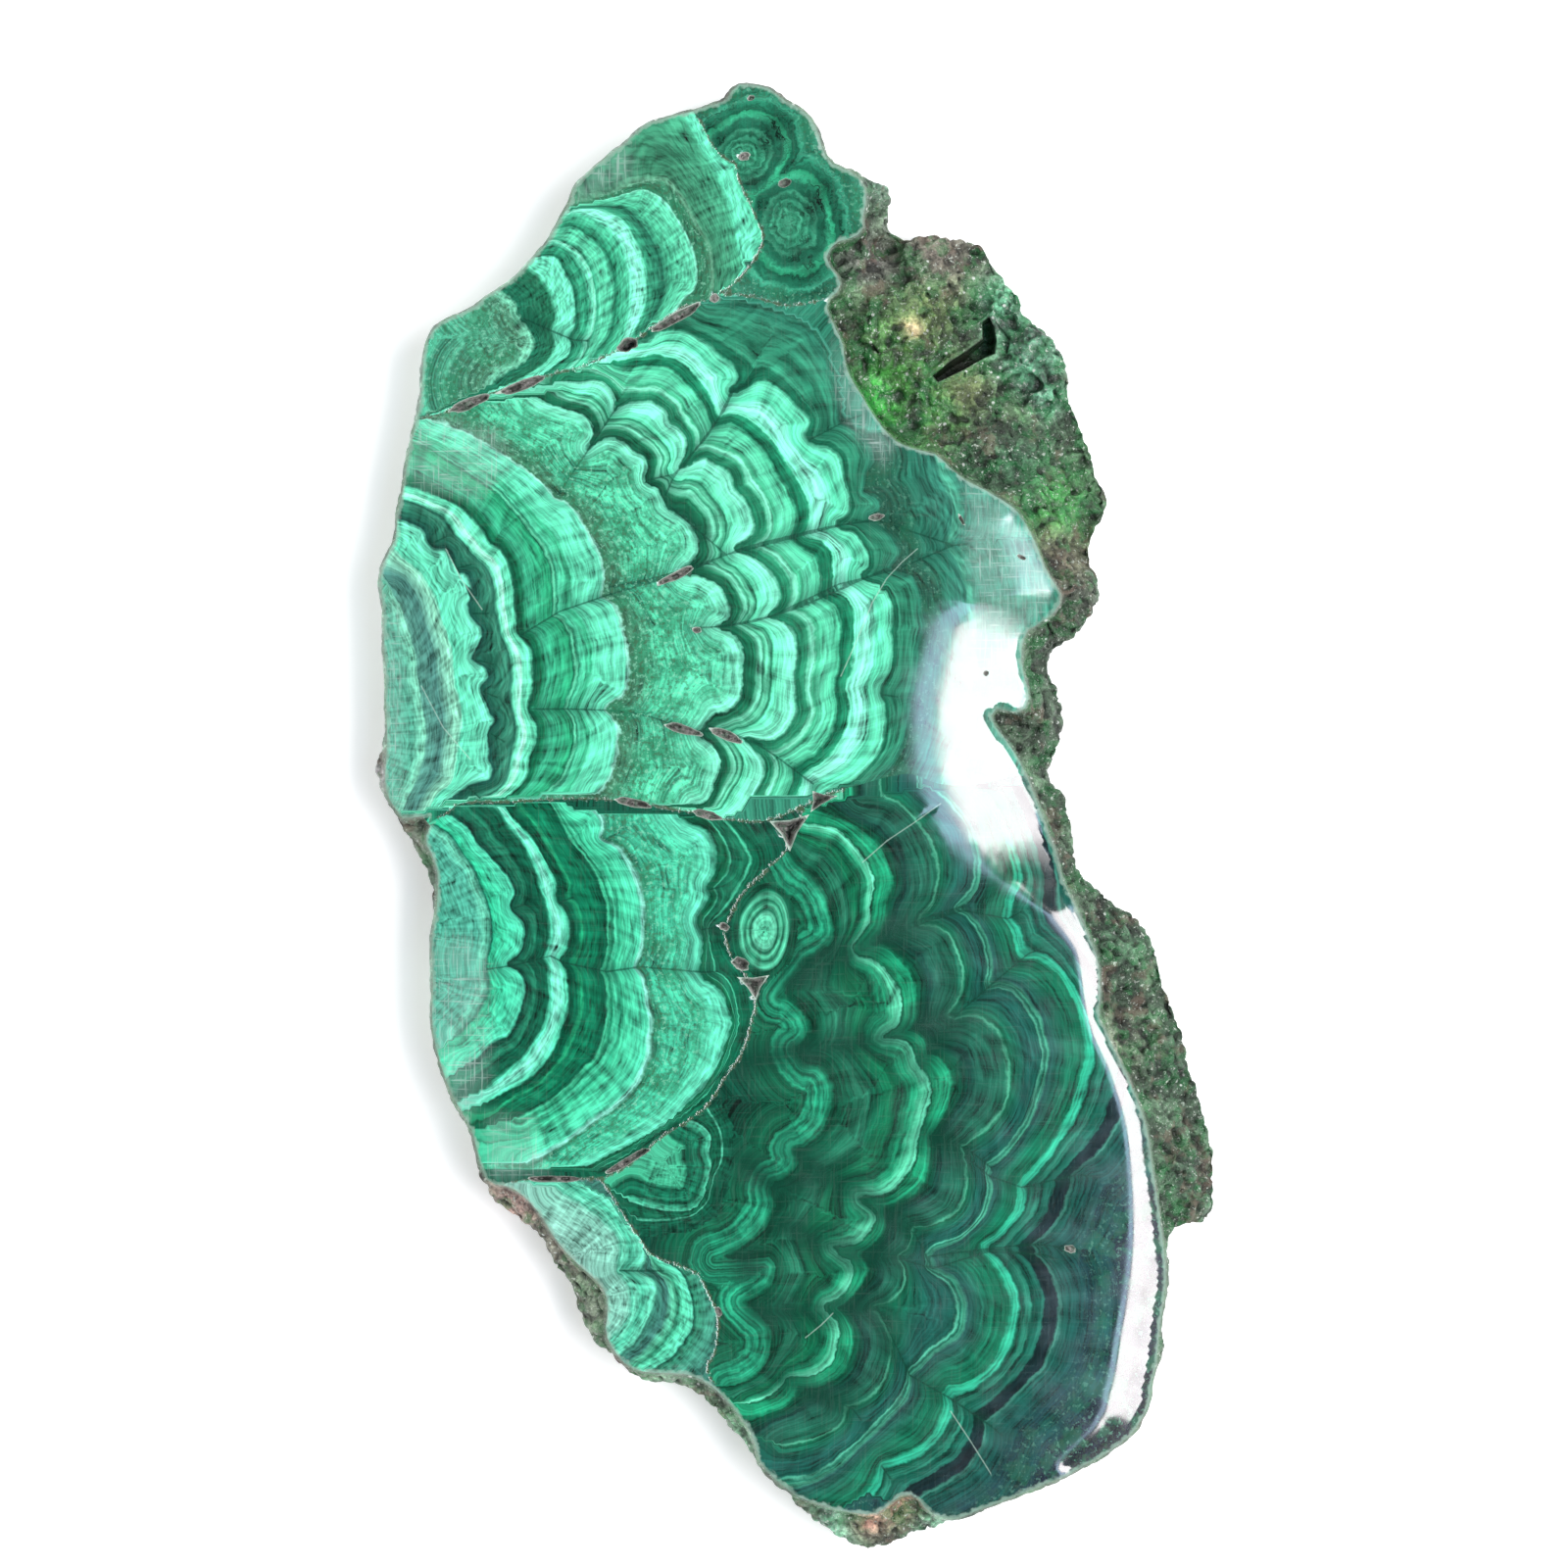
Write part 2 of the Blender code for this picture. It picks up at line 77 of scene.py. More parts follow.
# Where the polished face ends, clockwise from the knob at the top
POLISH_EDGE = """
742 102 748 91 756 86 768 87 780 89 790 94 800 103 812 109 822 116 830 126 836 140 841 157 850 168 862 173 875 181
883 194 883 208 880 222 880 236 868 243 856 246 847 254 843 264 848 274 856 284 857 295 849 302 843 309 846 322 853
336 860 352 862 370 868 386 878 402 889 420 901 437 915 451 935 459 955 464 970 478 985 490 1003 499 1020 509 1037
521 1049 539 1057 555 1063 570 1070 586 1079 600 1083 611 1077 623 1064 634 1050 642 1045 653 1043 670 1046 690 1050
704 1050 717 1043 726 1030 725 1016 723 1012 732 1018 743 1028 756 1038 771 1048 791 1056 811 1064 831 1071 853 1079
874 1083 893 1090 911 1100 930 1110 954 1119 975 1122 995 1123 1015 1121 1036 1130 1057 1142 1081 1153 1104 1161
1125 1169 1148 1173 1170 1176 1192 1180 1215 1183 1237 1186 1260 1189 1285 1190 1310 1186 1340 1183 1365 1181 1390
1176 1412 1173 1434 1166 1449 1158 1461 1146 1472 1128 1485 1108 1495 1090 1505 1066 1514 1042 1524 1005 1538 976
1549 958 1547 946 1540 938 1530 926 1524 913 1530 901 1540 888 1545 868 1543 850 1539 832 1533 816 1528 805 1520 793
1511 783 1501 775 1490 771 1474 764 1458 753 1442 740 1427 723 1412 704 1403 682 1401 660 1400 643 1395 632 1385 623
1372 618 1358 620 1342 619 1324 611 1309 598 1297 581 1281 566 1263 553 1242 540 1226 522 1212 500 1206 491 1190 486
1170 481 1152 472 1136 461 1116 452 1093 445 1068 441 1040 442 1010 441 980 441 955 445 935 447 905 446 888 441 872
434 858 438 846 442 834 428 833 412 835 404 826 396 812 393 795 394 778 395 760 395 740 394 715 394 690 392 660 392
630 390 610 388 592 391 578 397 563 404 550 405 532 408 516 412 496 416 471 421 446 426 426 430 406 431 386 433 361
438 344 447 332 463 323 483 314 498 302 518 290 533 276 548 259 559 247 568 231 575 218 582 208 586 192 595 182 609
169 624 157 639 146 649 135 663 126 682 120 702 115 722 109
"""

# The right-hand stretch of the polish edge over which the face rolls down to a shoulder:
# x and y of a point on the edge, then the shoulder's width and its drop, in millimetres
SHOULDER = [
    (1037, 521, 3.0, 0.2), (1083, 611, 4.5, 0.35), (1045, 653, 12.0, 1.7), (1030, 725, 12.0, 1.9),
    (1048, 791, 12.0, 2.0), (1064, 831, 10.0, 1.7), (1079, 874, 6.4, 1.1), (1090, 911, 3.0, 0.55),
    (1122, 995, 1.8, 0.35), (1142, 1081, 1.8, 0.35), (1169, 1148, 2.6, 0.5), (1180, 1215, 4.0, 0.8),
    (1189, 1285, 5.4, 1.1), (1183, 1365, 6.3, 1.3), (1173, 1434, 6.7, 1.4), (1146, 1472, 5.0, 1.0),
    (1090, 1505, 2.0, 0.35),
]

# The same roll along a smooth line that bridges the edge's notch
FOLD = [
    (1037, 521, 3.0, 0.2), (1074, 600, 4.5, 0.35), (1064, 655, 13.5, 1.75), (1056, 720, 14.5, 2.0),
    (1059, 785, 14.5, 2.0), (1068, 840, 12.0, 1.8), (1081, 885, 7.0, 1.25), (1096, 925, 3.2, 0.6),
    (1114, 970, 1.8, 0.35), (1126, 1040, 1.8, 0.35), (1148, 1092, 1.8, 0.35), (1168, 1148, 2.2, 0.42),
    (1180, 1215, 2.8, 0.56), (1189, 1285, 3.9, 0.8), (1184, 1365, 4.6, 0.95), (1173, 1434, 4.9, 1.02),
    (1146, 1474, 4.0, 0.8), (1090, 1507, 2.0, 0.35),
]

# Vugs: x and y of both ends, width in pixels, depth in millimetres
VUGS = [
    (630, 356, 652, 347, 13, 2.4), (663, 339, 716, 309, 10, 1.0), (507, 402, 558, 384, 10, 1.0),
    (459, 420, 498, 404, 12, 1.2), (672, 596, 709, 578, 9, 0.8), (678, 738, 716, 750, 10, 0.9),
    (722, 743, 758, 757, 9, 0.9), (626, 815, 664, 823, 8, 0.8), (707, 828, 736, 835, 9, 0.8),
    (794, 188, 808, 185, 9, 1.2), (747, 979, 764, 988, 13, 1.6), (540, 1203, 592, 1203, 7, 0.9),
    (616, 1199, 664, 1171, 8, 0.9), (724, 306, 734, 303, 9, 0.5), (754, 161, 765, 158, 9, 0.4),
    (762, 101, 770, 99, 6, 0.4), (706, 642, 716, 644, 7, 0.5), (887, 529, 903, 526, 7, 0.6),
    (734, 943, 744, 948, 9, 0.5), (1086, 1273, 1098, 1276, 8, 0.5), (731, 1333, 735, 1343, 7, 0.5),
    (978, 524, 984, 536, 4, 0.5), (1038, 566, 1047, 571, 4, 0.5), (1004, 686, 1009, 688, 6, 0.4),
]

# Three-cornered vugs, where three growths meet: x and y of their corners, and the depth in millimetres
CORNER_VUGS = [
    (785, 838, 826, 831, 806, 869, 2.2), (829, 807, 855, 812, 827, 829, 1.6), (752, 997, 785, 995, 771, 1021, 1.2),
]

# Seams where two growths meet; the ends run on past the polish
SEAMS = {
    "upper_left": "360 440 440 425 500 402 560 383 600 372 640 352 690 318 730 303",
    "top": "730 303 750 300 775 305 805 312 843 306 900 300",
    "column": """
690 60 706 111 716 126 723 141 733 155 742 163 751 168 753 180 759 194 767 211 774 228 779 243 772 262 758 280 745
293 730 303
""",
    "middle": """
340 838 440 836 470 820 520 818 590 815 641 818 689 826 720 831 743 836 784 837 829 818 852 808 880 800 905 793 930
790 960 800 1000 800 1045 790 1120 780
""",
    "lower": """
822 822 803 866 790 880 770 900 757 912 750 925 741 945 741 958 748 980 765 1000 771 1020 768 1040 757 1075 740 1100
722 1128 700 1145 672 1163 640 1190 612 1202 570 1203 537 1204 496 1210 440 1216
""",
    "foot": """
612 1202 625 1220 640 1245 652 1262 665 1280 690 1290 712 1300 722 1318 731 1337 733 1352 730 1378 722 1400 740 1427
760 1470
""",
}
# Seams inside one growth, seen as fine lines only
FINE_SEAMS = [
    "748 396 727 437 692 480 679 505", "618 600 666 590 698 581 736 568 762 558 806 547 845 538 895 530",
    "704 641 743 638 800 625 838 610 905 580", "625 724 666 732 698 744 736 748 775 761 830 800",
    "760 1085 826 1070 886 1063 943 1045 972 1033", "818 984 861 970 943 937 982 925",
    "760 1186 793 1211 849 1201 879 1219 936 1255", "949 1159 985 1172 1012 1192", "800 1249 843 1270 922 1282",
    "949 1282 1002 1275 1058 1270 1092 1275", "783 1342 843 1335 896 1333",
]

# Growth lines of the wide fan on the left and of the columns that grew on from it
FAN_LEFT = """
400 605 408 618 413 632 417 645 422 661 425 675 426 691 429 710 432 728 434 744 434 760 431 779 425 795 417 811 410
830;
400 559 411 570 425 581 437 597 444 613 449 632 456 650 460 664 462 682 464 700 469 719 471 737 468 751 466 765 464
781 461 799 446 811 436 830;
400 529 414 532 423 536 432 541 437 551|446 558 455 559 461 567 463 579|469 581 478 583 481 595 483 605 479 618|487
634 492 645 489 657 483 671|494 677 499 684 497 694 492 700|495 712 501 729 507 734 503 742|500 756 499 776 502 783
500 795 489 800|469 808 457 816 446 826;
400 506 416 509 430 514 444 521 457 528 466 542 476 554 485 565 499 579 504 590 507 604 508 618 511 632 514 648 519
659 523 675 525 694 524 710 525 723 528 739 528 756 524 774 520 788 515 801 499 815;
404 494 423 498 441 505 457 512 471 519 480 528 492 541 500 555 510 560 517 572 520 583 524 599 523 616 526 629 528
643|537 652 542 666 543 682 543 698 540 717|545 730 548 744 546 760 540 774 539 788 531 801 517 813;
415 447 430 452 460 470 489 489 506 501 519 514 531 528 542 542 554 556 561 572 565 590 567 609 568 619|574 629 581
643 586 661 587 680 586 698 581 717|585 730 587 746 586 762 581 779 572 795 558 808 545 815;
440 430 465 438 490 450 515 465 540 482 561 501|577 510 588 524 597 537 602 551 611 565 616 579 619 593 616 604|623
611 629 622 635 638 638 652 639 675 640 694 635 710 620 720|627 730 631 744 630 760 627 776 620 795 611 808;
545 405 560 412 572 416 587 420 599 426 606 435 608 443 604 452 599 456|611 448 619 445 629 447 639 453 646 461 654
464 660 469 662 480 660 488|662 492 671 497 677 506 679 514|688 519 697 522 707 531 712 543 714 555 713 567 707 576
701 581|703 586 715 587 724 592 734 598 740 608 746 619 746 627 743 635 734 639|741 641 749 646 757 656 759 667 759
679 757 690 758 700 756 711 749 721 740 728 728 729|717 752 724 757 732 767 736 778 734 790 729 801 726 811 720 818
707 822;
575 398 587 402 601 404 611 410 619 418 621 422|627 425 642 427 656 433 670 445 680 457 685 467 682 478|693 490 703
488 715 494 725 506 736 520 741 535 742 547 740 558|742 574 751 578 763 593 770 606 773 619 771 629 768 633|772 635
782 642 787 656 788 671 787 686 786 702 785 715 779 728 770 738 759 744 751 745|745 753 753 763 758 774 758 786 753
797 747 805 742 815 735 826;
580 390 591 391 601 388 611 388 619 392 625 400 629 410 627 418|634 411 642 408 652 410 662 410 672 415 680 422 682
432 691 436 699 445 701 457 699 467 693 476|703 474 711 469 721 467 729 474 740 480 746 488 748 500 756 506 762 514
768 527 770 537 768 545 760 552 750 558|767 566 774 572 784 581 791 591 795 600 796 612 793 621 786 628|787 630 797
632 806 639 811 648 812 660 813 671 811 682 810 691 811 702 811 715 812 725 809 736 799 749 789 757 778 759 763
753|763 757 772 767 779 778 780 790 774 803 767 815 757 828 749 834 742 836;
630 368 650 363 666 361 682 363 699 371 711 384 721 396 729 408 734 420|744 418 756 422 770 431 785 445 797 461 809
480 819 496 825 512 827 527 827 541|827 547 842 553 850 565 852 580 854 592|858 600 867 610 873 630 872 655 870 680
864 700 867 715 867 735 860 752 848 770 835 782 826 787 812 815;
650 352 664 349 674 341 691 338 703 341 713 347 723 353 731 361 742 369 750 376 754 386 750 394 744 398|752 400 760
394 776 390 789 394 799 400 809 412 821 422 827 431 821 443|832 454 847 456 855 464 859 474 861 486 866 502 869 515
865 527 855 533|859 539 871 541 877 549 883 560 887 572 886 580 879 585|889 594 900 597 906 607 910 621 910 635 908
645 911 658 910 674 908 686 899 702|903 716 904 727 903 742 901 758 896 769 888 779 876 792 863 800 840 812;
725 305 740 303 760 306 780 311 800 318 815 325 830 335 838 348 850 370 858 395 860 424|871 433 883 445 890 458 894
468|881 502 891 506 898 513 898 521 887 525|904 537 912 545 918 556 920 568 912 578|922 582 932 586 938 596 941 611
942 625 945 641 940 656 935 690 930 720 925 750 915 775 895 800;
960 440 959 462 963 482 971 494 977 513 978 533 971 551|975 562 983 580 989 600 992 621 994 641 995 666 992 700 984
740 972 770 960 805
""".split(";")
# Growth lines of the fan at the lower left
FAN_LOWER = """
445 843 460 854 471 870 482 886 488 902 494 918 498 929 500 945 500 961 496 980|498 998 495 1012 490 1025 483 1036
466 1055;
460 833 479 848 487 862 498 872 508 883 518 896 525 910 522 923|527 931 534 942 535 958 531 971 520 982|530 988 535
1001 535 1014 531 1030 526 1041 520 1055 508 1061 499 1068 478 1085;
505 820 514 830 522 843 533 856 541 872 549 891 553 907 559 921 562 937 562 953 561 971|562 980 561 998 562 1017
559 1036 554 1052 543 1068 533 1081 520 1092 498 1110;
510 820 519 832 527 840 538 852 549 867 559 886 566 899 567 915|575 926 580 942 580 961 574 977|578 988 579 1004
579 1022 575 1041 569 1057 562 1073 551 1089 535 1103 520 1111 500 1122;
560 816 565 824 574 840 583 859 594 872 605 888 613 905 618 923 620 945 620 966 618 982|620 1001 620 1022 618 1044
613 1063 605 1079 591 1095 575 1111 559 1124 530 1140;
575 816 583 823 605 825 614 835 617 844 614 854|624 858 634 867 641 880 648 894 653 907 656 926 657 945 656 963 652
980|656 993 658 1009 662 1028 664 1046 663 1068 660 1084 653 1100 642 1116 626 1130 608 1143 591 1156 575 1167 562
1175 540 1185;
690 828 700 838 720 846 729 862 732 878 729 894 724 902|725 913 721 923 712 937|720 960 715 985|720 999 731 1005
739 1015 744 1029 748 1044 743 1060 738 1077 733 1091 722 1107 708 1122 694 1136 680 1148 659 1160 639 1171 618
1181 600 1191;
738 832 744 837 755 847 765 862 771 876 769 888 763 900 755 913 748 923 739 931 725 950 728 975 745 1000 752 1022
754 1045 748 1065 738 1090 722 1115 700 1135 668 1155 640 1178 612 1193
""".split(";")
# Growth lines of the fan at the upper left
FAN_UPPER = """
505 292 519 301 527 308 529 318|540 332 546 347 543 360 532 374 520 380 505 392;
528 262 541 273 551 282 561 294 565 308 569 323 567 334|567 345 568 354 563 364 556 372 546 378 530 388;
530 262 541 263 556 260 568 262 575 272 581 284 586 301 588 315 588 330 585 342|586 352 580 364 565 374 555 381;
540 248 551 249 565 245 580 251 592 262 601 277 605 294 607 311 606 328 603 345 598 358 587 371 575 382;
552 235 563 233 582 229 599 237 614 249 622 263 627 280 629 298 628 315 626 332 620 347 609 360 598 375;
560 222 570 220 590 217 609 225 626 238 636 255 641 274 643 294 643 313 640 330 637 342 630 360;
572 214 587 213 604 211 621 216 636 226 645 240 653 257 658 277 659 296 657 315 650 332 644 343 640 354;
605 211 621 210 638 212 650 223 662 238 672 257 677 274 678 291 675 308 667 323 658 342;
620 202 636 198 653 193 667 197 682 209 694 226 704 245 710 265 711 282 707 296 696 306 684 322;
580 204 599 203 626 197 645 189 662 185 677 183 689 194 701 214 713 233 722 250 726 269 727 286 726 301 722 312;
690 90 701 112 708 129 715 146 723 160 733 175 740 194 746 214 751 233 753 252 757 265 758 277 750 292;
694 90 706 111 716 126 723 141 733 155 742 163 751 168 753 180 759 194 767 211 774 228 779 243 772 262
""".split(";")
# Growth lines of the wide fan at the lower right
FAN_RIGHT = """
806 870 815 885 830 895 845 920 852 945 848 965 825 980|795 1018 805 1020 818 1032 825 1048 822 1062 812 1070|822
1085 835 1087 845 1098 849 1115 847 1135 838 1155 822 1170 812 1173|815 1180 813 1190 803 1202 790 1207|788 1215
790 1230 782 1250 768 1265 750 1277 730 1285|785 1282 792 1292 790 1305 780 1318 760 1328|785 1350 788 1370 782
1392 765 1408 745 1415;
820 842 840 843 858 850 875 868 887 888 891 905 888 922 885 940 878 955 870 965|875 976 893 980 907 995 917 1015
920 1033 916 1048 905 1057|915 1058 928 1065 936 1082|943 1088 948 1103 949 1118 943 1140 937 1165 930 1190 918
1208 900 1221 880 1225|893 1235 893 1245 885 1260 870 1272 850 1275|868 1285 871 1298 866 1313 855 1325 843
1330|852 1345 856 1362 850 1385 835 1400 805 1405|800 1412 785 1424 765 1430;
880 812 905 813 925 825 943 845 955 870 958 895 955 915 948 930 942 938|955 941 968 952 977 970 983 990 983 1008
978 1022 972 1033|985 1034 998 1036 1012 1045 1022 1060 1029 1080 1031 1100 1028 1118 1020 1138 1008 1152 993 1162
984 1172|988 1190 987 1208 983 1225 973 1240 955 1250 935 1255|932 1262 927 1275 921 1281|924 1290 924 1305 917
1320 905 1330 894 1334|900 1340 909 1352 912 1370 909 1390 903 1408 895 1420 875 1435|865 1440 860 1452 850 1460
830 1468 800 1475;
950 802 970 820 985 840 993 865 995 885 992 905 983 918 978 925|988 933 998 950 1005 970 1008 985 1007 1003|1020
1003 1035 1013 1048 1030 1058 1050 1063 1072 1062 1090 1058 1108 1053 1125 1045 1145 1033 1162 1020 1178 1010
1190|1009 1210 1005 1228 998 1243 985 1257 970 1265 952 1272 947 1282 948 1292|955 1297 968 1308 976 1325 977 1345
972 1358 960 1370 945 1380 932 1395|925 1412 915 1428 905 1440 893 1452 882 1465 870 1475 860 1482 850 1492 838
1500 820 1506 803 1508 785 1512;
990 800 1010 825 1025 855 1034 885 1034 900 1027 918 1026 930|1032 945 1035 960 1040 972|1058 975 1072 985 1085
1000 1095 1018 1103 1040 1107 1062 1107 1080 1101 1105 1093 1130 1082 1150 1072 1168 1060 1185 1045 1203|1040 1220
1035 1235 1020 1255 1002 1270|1013 1285 1024 1305 1030 1325 1030 1345 1026 1365 1017 1385 1003 1402 985 1412 968
1416|967 1435 960 1450 950 1465 935 1478 915 1487 902 1493|898 1500 890 1515 878 1530 862 1540 850 1552;
1045 800 1060 830 1072 865 1080 900 1082 930 1100 960 1118 990 1138 1020 1152 1050 1158 1080 1153 1111 1145 1136
1135 1156 1120 1178 1105 1190|1095 1207 1088 1225 1080 1243 1070 1258 1058 1270|1070 1290 1078 1308 1081 1330 1079
1352 1073 1375 1063 1395 1048 1412 1035 1425 1015 1445|1007 1465 1000 1480 990 1495 975 1507 955 1518 940 1527 925
1540
""".split(";")
# Growth lines of the small growth at the foot, and of the small lobe beside the lower seam
FAN_FOOT = """
570 1212 588 1223 605 1234 620 1247 631 1262 635 1275 632 1295|633 1298 643 1310 646 1325 643 1342 635 1355 625
1368 610 1380;
588 1202 600 1210 618 1219 631 1232 641 1247 652 1260 659 1273 661 1286 659 1295|665 1299 671 1312 670 1325 664
1342 657 1355 648 1371 639 1377 620 1392;
650 1272 672 1284 687 1290 698 1303 704 1318 708 1336 707 1353 700 1368 691 1379 681 1388 660 1402
""".split(";")
LOBE = """
700 1143 715 1150 725 1160 722 1175|726 1190 720 1215 710 1232 690 1236 665 1232 645 1225;
722 1130 735 1155 737 1180 728 1200|722 1225 705 1240 675 1245 650 1245
""".split(";")
LOBE_AREA = """
672 1163 700 1145 722 1128 740 1128 748 1150 749 1180 742 1215 730 1243 708 1256 680 1260 655 1262 640 1245 625 1220
612 1202 640 1190
"""

# Colours along the growth, one after another: how far the growth has come, then red, green and blue (0 to
# 255), and after a bar how speckled the stone is there
LEFT_TONES = """
0 95 180 148;.7 85 170 138;.97 130 210 172;1.04 85 145 125;1.5 75 130 115;1.93 150 225 185;1.97 100 170 140
2 150 228 188;2.05 100 215 170;2.5 105 218 172;2.9 120 232 188;3.03 20 70 58;3.5 45 120 92;3.75 60 135 105
3.9 35 100 78;4.03 110 228 178;4.4 175 246 212;4.5 115 230 180;4.9 105 225 175;5.03 12 80 55;5.2 20 110 72
5.35 60 170 125;5.9 45 165 112;5.95 20 100 70;6 95 205 155;6.06 30 120 85;6.1 85 205 155;6.3 60 175 125
6.35 95 215 165;6.95 110 225 178;7 150 220 190;7.03 66 118 86|.7;7.18 74 150 112|.9;7.35 80 198 148|.9
7.8 95 212 162|.6;7.97 130 235 190;8.04 15 85 58;8.4 30 115 78;8.62 120 220 175;8.7 50 140 100;8.8 110 220 170
9 25 110 75;9.06 100 225 170;9.92 135 240 196;10.03 26 110 76;10.2 45 145 102;10.3 130 230 185;10.36 60 165 118
10.5 100 215 165;10.7 85 200 150;10.78 15 100 68;10.97 40 150 105;11 120 240 190;11.3 150 252 212;11.6 90 210 160
11.95 110 228 178;12.05 22 100 70;12.18 30 112 80;12.22 58 150 112;12.4 40 120 88;12.7 54 138 104;12.9 44 120 92
13.04 34 84 64|.3;13.3 40 96 74|.3;13.5 44 116 90;13.9 52 124 100;13.97 82 172 136;14.1 58 134 108|.2
14.6 74 146 120|.3;15 72 164 134;15.4 60 140 112;16 50 130 100
"""
LOWER_TONES = """
0 90 175 142;.8 98 182 150;.9 130 215 175;1.05 25 105 80;1.15 60 200 145;1.95 105 228 178;2.04 8 60 45;2.4 45 135 98
2.5 15 85 60;2.9 20 100 70;3.05 110 230 180;3.35 160 242 205;3.95 105 225 175;4.05 0 72 48;4.25 10 100 68
4.35 40 165 110;4.42 12 115 78;4.6 18 130 88;4.98 5 85 58;5.02 85 205 150;5.12 30 130 90;5.2 90 212 158
5.3 50 160 115;5.4 85 210 155;5.9 100 222 170;5.97 175 243 212;6.05 56 130 94|.6;6.15 80 195 148|.8
6.6 90 210 160|.6;6.9 125 235 188;7.04 12 92 62;7.3 28 110 72;7.36 84 190 142;7.41 25 105 75;7.6 38 130 92
7.78 28 112 78;7.85 84 196 146;7.92 20 100 70;8 15 100 68;9 20 90 65
"""
UPPER_TONES = """
0 90 205 160|.4;.85 76 140 106|.9;.95 130 225 180|.2;1 30 110 80;1.9 35 115 80;2.05 110 232 182;2.9 115 235 188
3 20 100 70;3.4 60 170 125;3.6 45 150 108;3.9 110 225 178;4 135 235 192;4.1 55 160 118;4.3 95 212 162;4.8 85 200 152
4.95 30 115 82;5.1 50 155 112;5.9 85 205 155;6 115 235 188;6.5 145 250 210;6.95 120 238 190;7.1 60 165 122
7.95 35 105 78;8.2 75 185 138;8.9 105 222 172;9 140 240 198;9.05 50 120 86|.6;9.8 58 128 92|.8;10 104 170 132|.5
10.1 60 130 95;10.9 70 165 122;11 100 222 172;11.5 110 230 182;11.95 90 210 160;12 45 110 85;13 65 120 98
"""
RIGHT_TONES = """
0 15 80 58;.55 25 110 75;.6 15 80 55;.66 52 176 126;.71 26 112 80;.77 56 186 134;.83 30 124 88;.88 62 192 140
.95 40 150 106;1.02 8 75 50;1.2 30 110 78;1.35 55 135 100;1.42 28 105 75;1.6 25 125 82;1.72 12 90 60;1.85 45 170 118
1.95 120 230 175;2 130 238 185;2.03 12 100 66;2.08 35 160 108;2.25 45 180 125;2.32 8 90 60;2.5 28 75 62
2.62 48 112 88;2.95 38 110 82;3 95 180 138;3.05 25 115 80;3.6 40 105 90;3.95 30 95 78;4 105 195 155;4.06 35 110 85
4.12 90 180 140;4.2 48 92 82;4.6 30 125 90;4.95 25 115 80;5 60 195 145;5.15 70 205 158;5.2 0 78 55;5.4 60 150 118
5.45 10 85 65;5.65 50 130 105;5.7 22 50 48;5.95 30 42 45;6 85 150 125;6.05 34 100 82;6.3 38 96 84;6.6 42 72 74|.2
6.8 34 88 76|.3;7 44 84 82|.3;7.2 44 48 58|.4;7.6 40 40 54|.5;9 62 54 74|.6
"""
FOOT_TONES = """
0 150 190 170|.2;.9 140 205 175;1 85 175 140;1.1 120 220 178;1.4 80 185 145;1.9 120 230 185;2 60 130 105
2.3 65 120 105;2.45 100 200 155;2.6 45 130 95;2.7 95 215 165;2.95 105 222 175;3 15 80 60;3.1 55 140 105
3.6 75 155 125;4 60 120 100
"""
KNOB_TONES = """
0 70 155 116;.9 45 125 90;1.2 74 165 124;1.5 36 110 78;2.1 60 142 106;2.3 30 98 70;2.9 58 134 100;3.2 26 92 66
4 34 104 76;4.4 56 158 114;4.9 46 146 102;5.1 24 90 64;6 38 118 86;6.4 66 160 122|.3;7 36 110 80|.5
8.5 60 130 100|.6;10 48 120 90|.5
"""
EYE_TONES = """
0 90 205 155;1.4 115 220 172;1.8 20 95 66;2.2 95 205 155;2.5 30 120 84;3 100 212 162;3.4 20 95 66;4.5 15 85 58
"""
LOBE_TONES = """
0 100 215 162;.35 85 200 148;.45 20 100 70;.7 40 150 108;.8 15 90 62;.95 90 205 155;1.05 120 225 178;1.12 15 95 66
1.5 30 120 84;1.85 25 105 74;2 110 215 168;2.1 25 110 78;3 20 95 68
"""

# The two eyes of the knob at the top and the oval eye beside the lower seam: x, y, half width, half height
KNOB_EYES = [(760, 158, 9, 9), (806, 228, 10, 10)]
OVAL_EYE = (780, 950, 8.2, 11.5)

# The deepest scratches in the polish: places along each
SCRATCHES = [
    "970 1440 990 1470 1010 1502 1030 1533", "936 560 920 574 905 590 890 615 880 640 868 668 858 690",
    "880 880 905 858 932 840 960 820", "455 560 470 590 492 622", "430 700 452 742 480 775",
    "822 1365 838 1352 850 1340",
]
# The outline of the crack that opens across the broken ledge
CRACK = "952 380 958 387 985 374 1006 362 1018 357 1020 343 1018 330 1012 318 1004 324 1005 341 990 353 972 365"

# Right of this x, and between these two y, the middle seam is closed and doesn't show
HEALED = (866, 750, 835)

# Where the right fan's lines, the first to the seventh, meet the middle seam: x. They are taken from here left of
# and above a place (x, y), where the growth as measured has come further than the third number.
UNDER_SEAM = [793, 860, 899, 936, 970, 1011, 1090]
UNDER_SEAM_HOLDS = (1012, 836, 6.4)

# Where the polish is dulled by fine scratches: rougher there, and painted paler as a painted sheen of reflected
# light. Outlines
HAZE_AND_SHEEN_AREAS = [
    "405 435 460 428 512 440 518 478 490 512 440 505 405 485", "385 610 408 620 414 700 412 830 385 830",
    "437 950 480 955 500 990 500 1100 470 1165 440 1100", "495 1135 545 1140 560 1200 500 1205",
    "850 350 885 400 915 455 900 480 870 440 852 400", "985 490 1050 520 1080 590 1060 650 1000 680 985 560",
    "600 155 640 140 650 180 590 205", "640 1395 700 1400 770 1480 775 1500 700 1430",
]

